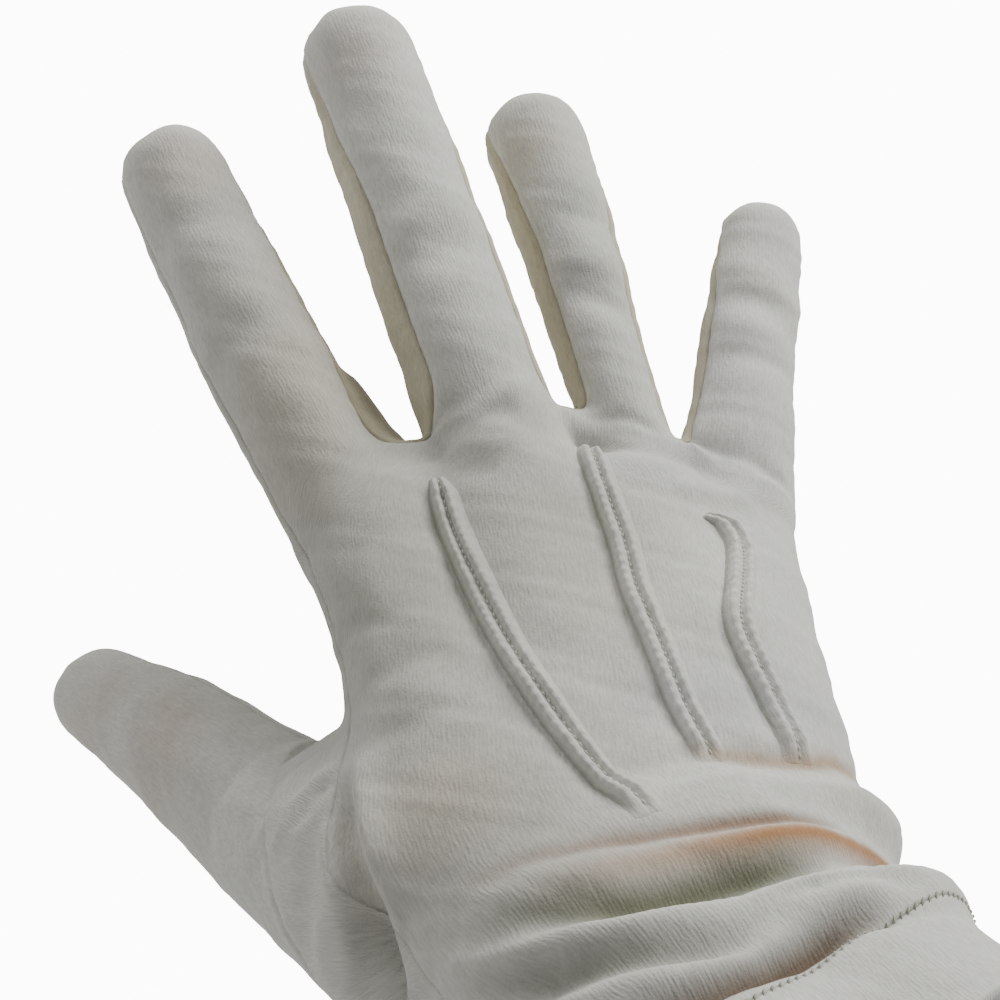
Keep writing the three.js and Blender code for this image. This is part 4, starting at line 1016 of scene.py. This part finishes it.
def open_thumb_hole(cloth):
    """Sinks the palm cloth under the thumb's past the seam, and takes it away further on, where it is close to
    the thumb's form."""
    points = np.concatenate(cloth.points)
    near = smooth((7 - chain_field(points, THUMB_CHAIN)) / 3)
    sunk = SEAM_SINK * smooth((past_seam(points) + SEAM_LAP / 2) / SEAM_LAP) * near
    cloth.drop(lambda p: (past_seam(p) > SEAM_LAP) & (chain_field(p, THUMB_CHAIN) < 2.2))
    cloth.points = [points - np.concatenate(cloth.normals) * sunk[:, None]]


def hem_cloth(columns, rows):
    """Hem: a ring of rows round the wrist opening, across the back and back along the palm side."""
    cloth = Cloth()
    along = np.linspace(-CUFF_LENGTH, HEM_LINE - HEM_GAP, rows)
    across = np.linspace(0, 1, columns + 1)
    back = hand_surface(1, *np.meshgrid(across, along))
    under = hand_surface(-1, *np.meshgrid(across[1:-1][::-1], along))
    points, normals, tint = [np.concatenate(pair, axis=1) for pair in zip(back, under)]
    side = arcs(points, 1)
    length = np.broadcast_to(along[:, None] - HEM_LINE, side.shape)
    numbers = cloth.block(points, normals, np.stack([side, length], -1), tint)
    cloth.sew(np.concatenate([numbers, numbers[:, :1]], axis=1))
    return cloth


def hem_stitch_ends(count):
    """Starts, ends and outward directions of the slanted stitches that hold the hem down, all round it."""
    around = np.arange(count) * 2 / count
    parts = []
    for shift, rise in ((0, -0.35), (0.55 / count, 0.45)):
        turn = (around + 2 * shift) % 2
        across = np.where(turn < 1, turn, 2 - turn)
        along = np.full(count, HEM_LINE + rise)
        back, under = (hand_surface(face, across, along) for face in (1, -1))
        parts.append([np.where(turn[:, None] < 1, a, b) for a, b in zip(back[:2], under[:2])])
    (starts, ups), (ends, _) = parts
    return starts + 0.1 * ups, ends + 0.1 * ups, ups


def curve_through(points, count):
    """Even places along a Catmull-Rom curve through points in a plane. Further columns are values there."""
    points = np.asarray(points, float)
    ends = np.concatenate([[2 * points[0] - points[1]], points, [2 * points[-1] - points[-2]]])
    t = np.linspace(0, 1, 30, endpoint=False)[:, None]
    fine = []
    for a, b, c, d in zip(ends[:-3], ends[1:-2], ends[2:-1], ends[3:]):
        fine.append(0.5 * (2 * b + (c - a) * t + (2 * a - 5 * b + 4 * c - d) * t ** 2
                           + (3 * b - a - 3 * c + d) * t ** 3))
    fine = np.concatenate(fine + [points[-1:]])
    run = np.concatenate([[0], np.cumsum(np.linalg.norm(np.diff(fine[:, :2], axis=0), axis=1))])
    at = np.linspace(0, run[-1], count)
    return np.stack([np.interp(at, run, fine[:, i]) for i in range(fine.shape[1])], -1), at


def back_chart(places):
    """Chart places under places in the palm's plane: the nearest node of a net, and its slope from there."""
    across, along = np.meshgrid(np.linspace(0.04, 0.96, 93), np.linspace(0.02, 0.98, 97))
    net = in_palm_plane(cast(*hand_ray(1, across, along), hand_field))[..., :2]
    slope = np.stack([np.gradient(net, axis=1) / 0.01, np.gradient(net, axis=0) / 0.01], -1).reshape(-1, 2, 2)
    near = ((places[..., None, :] - net.reshape(-1, 2)) ** 2).sum(-1).argmin(-1)
    step = np.linalg.solve(slope[near], (places - net.reshape(-1, 2)[near])[..., None])[..., 0]
    return np.stack([across.ravel()[near], along.ravel()[near]], -1) + np.clip(step, -0.01, 0.01)


def under(places):
    """Points of the bare form's back straight below places in the palm's plane."""
    start = palm_vector(np.concatenate([places, np.full_like(places[..., :1], 60)], -1)) + WRIST
    return cast(start, np.broadcast_to(palm_vector((0, 0, 1)), start.shape), hand_field)


def tuck_line(name, count):
    """Even places on a tuck's line, the direction to its right and the length along it."""
    row = TUCKS[name]
    line = np.stack([np.array(row["across"]) * HAND_BREADTH, np.array(row["along"]) * HAND_LENGTH], -1)
    places, along = curve_through(line, count)
    ahead = unit(np.gradient(places, axis=0))
    return places, np.stack([-ahead[:, 1], ahead[:, 0]], -1), along


def tuck_frame(name, count, offsets):
    """Points of the back under a tuck: rows along its line, columns at offsets across it in mm. The tuck starts
    at 0.45 of its breadth and reaches all of it 7 mm on."""
    places, right, along = tuck_line(name, count)
    wide = (0.45 + 0.55 * smooth((along + 1) / 8))[:, None, None]
    points = under(places[:, None] + offsets[None, :, None] * wide * right[:, None])
    coarse, coarse_right, at = tuck_line(name, 60)
    ends = np.array([offsets.min(), offsets.max() + 1e-6])
    chart = back_chart(coarse[:, None] + ends[None, :, None] * coarse_right[:, None])
    share = ((offsets - ends[0]) / (ends[1] - ends[0]))[None, :, None]
    rows = np.stack([[np.interp(along, at, chart[:, j, i]) for i in range(2)] for j in range(2)])
    rows = mix(rows[0].T[:, None], rows[1].T[:, None], share)
    return *folded(points, rows[..., 0], rows[..., 1] * PALM_SPAN), along


def tuck_profile(w, along, length):
    """Height of a tuck: two bells exp(-|d / width|^steepness), a steep left roll and a softer right one, with
    the stitched groove between them. It fades out at its ends and swells a little between stitches."""
    rolls = sum(high * np.exp(-np.abs((w - at) / wide) ** steep) for at, wide, high, steep in TUCK_ROLLS)
    ends = np.minimum(0.35 + 0.65 * smooth(along / 5), smooth((length - along) / 6))
    quilted = 1 + 0.05 * np.sin(along * 2 * np.pi / 2.3 + 1.2 * np.sin(along / 3))
    return rolls * quilted * ends * TUCK_HEIGHT


def tuck_cloth(name):
    """One raised tuck of the back, its rim sunk 0.4 mm into the panel. Its left edge and its groove are darker:
    painted shadow along the edge and painted shade in the groove."""
    cloth = Cloth()
    w = np.linspace(*TUCK_SPAN, 37)
    points, normals, tint, along = tuck_frame(name, TUCK_ROWS, w * TUCK_HALF_WIDTH)
    grid_w, grid_along = np.meshgrid(w, along)
    height = tuck_profile(grid_w, grid_along, along[-1])
    rim = smooth(np.minimum((grid_w - w[0]) / 0.2, (w[-1] - grid_w) / 0.4))
    rim = rim * smooth(np.minimum(grid_along, along[-1] - grid_along) / 1.2)
    height = (height + 0.4) * rim - 0.4
    points = points + normals * height[..., None]
    edge = np.exp(-((grid_w + 1.02) / 0.13) ** 2) * smooth((along[-1] - grid_along) / 8)
    groove = np.exp(-((grid_w - TUCK_GROOVE) / 0.12) ** 2)
    # Painted shadow along the left edge and painted shade in the groove
    tint = tint_towards(tint, TUCK_SHADOW_COLOUR, np.maximum(0.7 * edge, 0.3 * groove))
    cloth.sew(cloth.block(points, normals, np.stack([arcs(points, 1), grid_along], -1), tint))
    return cloth


def tuck_stitch_ends(name):
    """Starts, ends and outward directions of the stitches in a tuck's groove: one to every six of its rows, four
    rows long."""
    points, normals, _, along = tuck_frame(name, TUCK_ROWS, np.array([TUCK_GROOVE, 0.24]) * TUCK_HALF_WIDTH)
    height = tuck_profile(np.full(TUCK_ROWS, TUCK_GROOVE), along, along[-1]) + 0.02
    spine = points[:, 0] + normals[:, 0] * height[:, None]
    first = np.arange(6, TUCK_ROWS - 8, 6)
    return spine[first], spine[first + 4], normals[first, 0]


def capsules(starts, ends, ups, radius, sides=6):
    """Joined stitches: from each start to its end a round thread with a high middle and sunk ends."""
    t = np.array([0, 0.12, 0.35, 0.65, 0.88, 1.0])
    thick = np.array([0.25, 0.8, 1.0, 1.0, 0.8, 0.25]) * radius
    arch = np.sin(np.pi * t) * 1.1 * radius - 0.35 * radius
    turn = np.linspace(0, 2 * np.pi, sides, endpoint=False)
    ahead = unit(ends - starts)
    side = unit(np.cross(ahead, ups))
    up = np.cross(side, ahead)
    spine = mix(starts[:, None], ends[:, None], t[:, None]) + up[:, None] * arch[:, None]
    ring = side[:, None] * np.cos(turn)[:, None] + up[:, None] * np.sin(turn)[:, None]
    return spine[:, :, None] + ring[:, None] * thick[:, None, None]


def stitch_piece(name, starts, ends, ups, radius):
    """One object with all the stitches of a seam."""
    points = capsules(starts, ends, ups, radius)
    count, rings, sides = points.shape[:3]
    numbers = np.arange(count * rings * sides).reshape(count, rings, sides)
    loop = np.concatenate([numbers, numbers[:, :, :1]], axis=2)
    a, b, c, d = loop[:, :-1, :-1], loop[:, :-1, 1:], loop[:, 1:, 1:], loop[:, 1:, :-1]
    faces = np.stack([a, b, c, d], -1).reshape(-1, 4).tolist()
    faces += numbers[:, 0, ::-1].tolist() + numbers[:, -1].tolist()
    mesh = bpy.data.meshes.new(name)
    mesh.from_pydata(points.reshape(-1, 3) * MM, [], faces)
    mesh.polygons.foreach_set("use_smooth", np.ones(len(mesh.polygons), bool))
    mesh.update()
    return put_in_scene(name, mesh)


def add_node(tree, kind, inputs, **settings):
    """Adds a shader node, sets its properties, and sets its sockets or links nodes and sockets into them."""
    node = tree.nodes.new(kind)
    for key, value in settings.items():
        setattr(node, key, value)
    for key, value in inputs.items():
        if isinstance(value, bpy.types.Node):
            value = value.outputs[0]
        if isinstance(value, bpy.types.NodeSocket):
            tree.links.new(value, node.inputs[key])
        else:
            node.inputs[key].default_value = value
    return node


def start_material(name):
    """A new node material, with its tree and its shader."""
    material = bpy.data.materials.new(name)
    material.use_nodes = True
    return material, material.node_tree, material.node_tree.nodes["Principled BSDF"]


def knitted_cotton(name, base, ribs):
    """Fine white cotton jersey, plain knitted and much washed: matt and slightly fuzzy, with a faint sheen where
    it turns away. Its wales run along the hand, 0.62 mm apart, and its courses across it, 0.5 mm apart. Uneven
    yarn shows as short light and dark strokes along the wales, and wear as soft clouds. ribs is how strongly
    the wales stand out, as a share of new cloth."""
    material, tree, shader = start_material(name)
    place = add_node(tree, "ShaderNodeUVMap", {}, uv_map="cloth_mm")
    body = add_node(tree, "ShaderNodeTexCoord", {}).outputs["Object"]
    waver = add_node(tree, "ShaderNodeTexNoise", {"Vector": place, "Scale": 0.35, "Detail": 2.0})
    split = add_node(tree, "ShaderNodeSeparateXYZ", {"Vector": place})
    drift = add_node(tree, "ShaderNodeMath", {0: waver, 1: 1.1, 2: split.outputs["X"]}, operation="MULTIPLY_ADD")
    wale = add_node(tree, "ShaderNodeMath", {0: drift, 1: WALE_STEP / 2}, operation="PINGPONG")
    course = add_node(tree, "ShaderNodeMath", {0: split.outputs["Y"], 1: COURSE_STEP / 2}, operation="PINGPONG")
    dash = add_node(tree, "ShaderNodeMapping", {"Vector": place, "Scale": (1.9, 0.55, 1.0)})
    dashes = add_node(tree, "ShaderNodeTexNoise", {"Vector": dash, "Scale": 1.0, "Detail": 2.0})
    long = add_node(tree, "ShaderNodeMapping", {"Vector": place, "Scale": (0.9, 0.12, 1.0)})
    yarn = add_node(tree, "ShaderNodeTexNoise", {"Vector": long, "Scale": 1.0, "Detail": 3.0})
    fuzz = add_node(tree, "ShaderNodeTexNoise", {"Vector": body, "Scale": 2600.0, "Detail": 3.0})
    cloud = add_node(tree, "ShaderNodeTexNoise", {"Vector": body, "Scale": 95.0, "Detail": 3.0})
    height = add_node(tree, "ShaderNodeMath", {0: wale, 1: 1.5 * ribs, 2: 0.0}, operation="MULTIPLY_ADD")
    height = add_node(tree, "ShaderNodeMath", {0: course, 1: 0.4 * ribs, 2: height}, operation="MULTIPLY_ADD")
    height = add_node(tree, "ShaderNodeMath", {0: dashes, 1: 1.2, 2: height}, operation="MULTIPLY_ADD")
    height = add_node(tree, "ShaderNodeMath", {0: fuzz, 1: 0.6, 2: height}, operation="MULTIPLY_ADD")
    bump = add_node(tree, "ShaderNodeBump", {"Height": height, "Strength": 0.5, "Distance": 0.00022})
    shade = add_node(tree, "ShaderNodeMath", {0: wale, 1: 0.22 * ribs, 2: 0.97 - 0.034 * ribs},
                     operation="MULTIPLY_ADD")
    strokes = add_node(tree, "ShaderNodeMath", {0: dashes, 1: 0.42, 2: 0.79}, operation="MULTIPLY_ADD")
    streak = add_node(tree, "ShaderNodeMath", {0: yarn, 1: 0.16, 2: 0.92}, operation="MULTIPLY_ADD")
    mottle = add_node(tree, "ShaderNodeMath", {0: cloud, 1: 0.16, 2: 0.92}, operation="MULTIPLY_ADD")
    for part in (strokes, streak, mottle):
        shade = add_node(tree, "ShaderNodeMath", {0: shade, 1: part}, operation="MULTIPLY")
    # Painted shade and faint tints from the cloth's attribute darken the knit's colour
    stain = add_node(tree, "ShaderNodeAttribute", {}, attribute_name="stain")
    tinted = add_node(tree, "ShaderNodeMix", {0: 1.0, 6: stain, 7: shade}, data_type="RGBA", blend_type="MULTIPLY")
    colour = add_node(tree, "ShaderNodeMix", {0: 1.0, 6: tinted.outputs[2], 7: base}, data_type="RGBA",
                      blend_type="MULTIPLY")
    tree.links.new(colour.outputs[2], shader.inputs["Base Color"])
    tree.links.new(bump.outputs["Normal"], shader.inputs["Normal"])
    for key, value in (("Roughness", 0.9), ("IOR", 1.45), ("Specular IOR Level", 0.25), ("Sheen Weight", 0.2),
                       ("Sheen Roughness", 0.5)):
        shader.inputs[key].default_value = value
    return material


def thread_material(name, base):
    """Spun cotton sewing thread: matt, a little smoother and glossier than the knitted cloth, so that each stitch
    has a soft light along its top."""
    material, _, shader = start_material(name)
    shader.inputs["Base Color"].default_value = base
    shader.inputs["Roughness"].default_value = 0.75
    shader.inputs["Specular IOR Level"].default_value = 0.3
    return material


def lit_backdrop(name):
    """Matt white paper, seen evenly lit by its own lamps: they light the picture's ground and not the glove."""
    material, tree, shader = start_material(name)
    seen = add_node(tree, "ShaderNodeLightPath", {}).outputs["Is Camera Ray"]
    glow = add_node(tree, "ShaderNodeEmission", {"Color": (1.0, 1.0, 1.0, 1.0), "Strength": BACKDROP_GLOW})
    both = add_node(tree, "ShaderNodeMixShader", {0: seen, 1: shader, 2: glow})
    tree.links.new(both.outputs[0], tree.nodes["Material Output"].inputs["Surface"])
    shader.inputs["Base Color"].default_value = linear("#e8e8e8")
    shader.inputs["Roughness"].default_value = 0.9
    return material


def seat(piece, material, node=None):
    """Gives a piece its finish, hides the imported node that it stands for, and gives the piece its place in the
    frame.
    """
    piece.data.materials.append(material)
    if node:
        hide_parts(node)
    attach(piece, "root")


class GloveSettings(bpy.types.PropertyGroup):
    """Sizes and colours of the glove's looks"""

    cloth_wall: bpy.props.FloatProperty(name="Cloth wall", description="Thickness of the knitted cloth",
                                        default=0.0009, min=0.0005, max=0.002, unit="LENGTH")
    hem_wall: bpy.props.FloatProperty(name="Hem wall", description="Thickness of the doubled hem",
                                      default=0.0018, min=0.001, max=0.003, unit="LENGTH")
    cloth_colour: bpy.props.FloatVectorProperty(name="Cloth", description="Colour of the cotton", subtype="COLOR",
                                                size=4, default=linear("#cfcfc7"), min=0, max=1)
    # The strips' colour: darker than the cloth's, as painted shade between the fingers, and yellower
    shaded_strip_colour: bpy.props.FloatVectorProperty(name="Side strips", description="Colour of the finger strips",
                                                subtype="COLOR", size=4, default=linear("#c4bea6"), min=0, max=1)


class StageSettings(bpy.types.PropertyGroup):
    """Light of the studio"""

    key_power: bpy.props.FloatProperty(name="Key light", description="Power of the large soft light", default=12,
                                       min=0, subtype="POWER")
    fill_power: bpy.props.FloatProperty(name="Fill light", description="Power of the weak light", default=4, min=0,
                                        subtype="POWER")


class GLOVE_OT_panels(bpy.types.Operator):
    """Builds the back and the palm of the glove"""

    bl_idname = "glove.panels"
    bl_label = "Back and palm"

    def execute(self, context):
        values = context.scene.parade_glove
        jersey = knitted_cotton("cotton_jersey", values.cloth_colour, 0.5)
        back = panel_cloth(1, COLUMNS_PER_FINGER, BACK_ROWS)
        back.roll_edges()
        seat(back.piece("back_cloth", values.cloth_wall), jersey, "back_panel")
        palm = panel_cloth(-1, COLUMNS_PER_FINGER, PALM_ROWS)
        palm.roll_edges()
        open_thumb_hole(palm)
        seat(palm.piece("palm_cloth", values.cloth_wall), jersey, "palm_panel")
        return {"FINISHED"}


class GLOVE_OT_strips(bpy.types.Operator):
    """Builds the strips between the fingers"""

    bl_idname = "glove.strips"
    bl_label = "Finger strips"

    def execute(self, context):
        values = context.scene.parade_glove
        # The same jersey in separate strips, darker and yellower, the darkness painted shade between the
        # fingers, and less brushed up, so its wales are fainter
        material = knitted_cotton("cotton_strip", values.shaded_strip_colour, 0.4)
        for k, name in enumerate(STRIPS):
            strip = strip_cloth(k, *STRIP_GRID)
            strip.roll_edges()
            seat(strip.piece("strip_" + name, values.cloth_wall), material, "fourchette_" + name)
        return {"FINISHED"}


class GLOVE_OT_thumb(bpy.types.Operator):
    """Builds the set-in thumb"""

    bl_idname = "glove.thumb"
    bl_label = "Thumb"

    def execute(self, context):
        thumb = thumb_cloth(*THUMB_GRID)
        jersey = bpy.data.materials["cotton_jersey"]
        seat(thumb.piece("thumb_cloth", context.scene.parade_glove.cloth_wall), jersey, "thumb")
        return {"FINISHED"}


class GLOVE_OT_hem(bpy.types.Operator):
    """Builds the doubled hem of the cuff and its stitches"""

    bl_idname = "glove.hem"
    bl_label = "Cuff hem"

    def execute(self, context):
        values = context.scene.parade_glove
        # The same jersey turned up double and pressed, so its wales are fainter
        cotton = knitted_cotton("cotton_hem", values.cloth_colour, 0.4)
        hem = hem_cloth(4 * COLUMNS_PER_FINGER, HEM_ROWS)
        seat(hem.piece("hem_cloth", values.hem_wall), cotton, "cuff_hem")
        stitches = stitch_piece("hem_stitches", *hem_stitch_ends(HEM_STITCHES), 0.14)
        seat(stitches, thread_material("cotton_hem_thread", linear(HEM_THREAD)))
        return {"FINISHED"}


class GLOVE_OT_tucks(bpy.types.Operator):
    """Builds the three raised tucks of the back and their stitches"""

    bl_idname = "glove.tucks"
    bl_label = "Back tucks"

    def execute(self, context):
        # The same jersey pulled round the roll of the tuck, which stretches its wales nearly flat
        cotton = knitted_cotton("cotton_tuck", context.scene.parade_glove.cloth_colour, 0.3)
        ends = []
        for name in TUCKS:
            seat(tuck_cloth(name).piece("tuck_" + name, 0), cotton, "point_" + name)
            ends.append(tuck_stitch_ends(name))
        stitches = stitch_piece("tuck_stitches", *(np.concatenate(part) for part in zip(*ends)), 0.16)
        seat(stitches, thread_material("cotton_thread", linear(TUCK_THREAD)))
        return {"FINISHED"}


def facing(back, spot):
    """Matrix of a camera or lamp at a spot, with its back turned along a direction and its X axis level."""
    right = unit(np.cross((0, 0, 1.0), back))
    columns = np.stack([right, np.cross(back, right), back, spot], -1)
    return Matrix([*columns.tolist(), (0, 0, 0, 1)])


class GLOVE_OT_stage(bpy.types.Operator):
    """Adds the floor, the lights and the camera"""

    bl_idname = "glove.stage"
    bl_label = "Studio"

    def execute(self, context):
        a, e = np.radians((CAMERA_AZIMUTH, CAMERA_ELEVATION))
        back = np.array((np.sin(a) * np.cos(e), -np.cos(a) * np.cos(e), np.sin(e)))
        camera = bpy.data.cameras.new("camera")
        camera.lens, camera.sensor_width = CAMERA_LENS, CAMERA_SENSOR
        camera.clip_start, camera.clip_end = 0.01, 20
        view = put_in_scene("camera", camera)
        view.matrix_world = facing(back, CAMERA_PLACE * MM)
        context.scene.camera = view
        floor_mesh = bpy.data.meshes.new("floor")
        corners = [(x * FLOOR_REACH, y * FLOOR_REACH, FLOOR_HEIGHT) for x, y in ((-1, -1), (1, -1), (1, 1), (-1, 1))]
        floor_mesh.from_pydata(corners, [], [(0, 1, 2, 3)])
        floor_mesh.materials.append(lit_backdrop("studio_paper"))
        put_in_scene("floor", floor_mesh)
        for row in LAMPS:
            lamp = bpy.data.lights.new(row["name"], "AREA")
            lamp.size, lamp.energy = row["size"], getattr(context.scene.glove_stage, row["power"])
            way = unit(np.array(row["way"]))
            put_in_scene(row["name"], lamp).matrix_world = facing(way, LAMP_TARGET + way * LAMP_DISTANCE)
        world = bpy.data.worlds.new("studio")
        world.use_nodes = True
        tree = world.node_tree
        seen = add_node(tree, "ShaderNodeLightPath", {}).outputs["Is Camera Ray"]
        glow = add_node(tree, "ShaderNodeMath", {0: seen, 1: BACKDROP_GLOW - WORLD_LIGHT, 2: WORLD_LIGHT},
                        operation="MULTIPLY_ADD")
        tree.nodes["Background"].inputs["Color"].default_value = (1, 1, 1, 1)
        tree.links.new(glow.outputs[0], tree.nodes["Background"].inputs["Strength"])
        context.scene.world = world
        return {"FINISHED"}


class GLOVE_PT_sidebar(bpy.types.Panel):
    """Lists the glove's operators in the 3D view's sidebar"""

    bl_idname = "GLOVE_PT_sidebar"
    bl_label = "Parade Glove"
    bl_space_type = "VIEW_3D"
    bl_region_type = "UI"
    bl_category = "Glove"

    def draw(self, context):
        for group in (context.scene.parade_glove, context.scene.glove_stage):
            for name in group.__annotations__:
                self.layout.prop(group, name)
        for operator in OPERATORS:
            self.layout.operator(operator.bl_idname)


OPERATORS = (GLOVE_OT_panels, GLOVE_OT_strips, GLOVE_OT_thumb, GLOVE_OT_hem, GLOVE_OT_tucks, GLOVE_OT_stage)
CLASSES = (GloveSettings, StageSettings, *OPERATORS, GLOVE_PT_sidebar)


def register():
    """Registers the classes and puts their values on the scene."""
    for cls in CLASSES:
        bpy.utils.register_class(cls)
    bpy.types.Scene.parade_glove = bpy.props.PointerProperty(type=GloveSettings)
    bpy.types.Scene.glove_stage = bpy.props.PointerProperty(type=StageSettings)


def unregister():
    """Takes the values and the classes away."""
    del bpy.types.Scene.parade_glove
    del bpy.types.Scene.glove_stage
    for cls in reversed(CLASSES):
        bpy.utils.unregister_class(cls)


def main():
    """Registers the add-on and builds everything."""
    register()
    bpy.ops.glove.panels()
    bpy.ops.glove.strips()
    bpy.ops.glove.thumb()
    bpy.ops.glove.hem()
    bpy.ops.glove.tucks()
    bpy.ops.glove.stage()


if __name__ == "__main__":
    main()
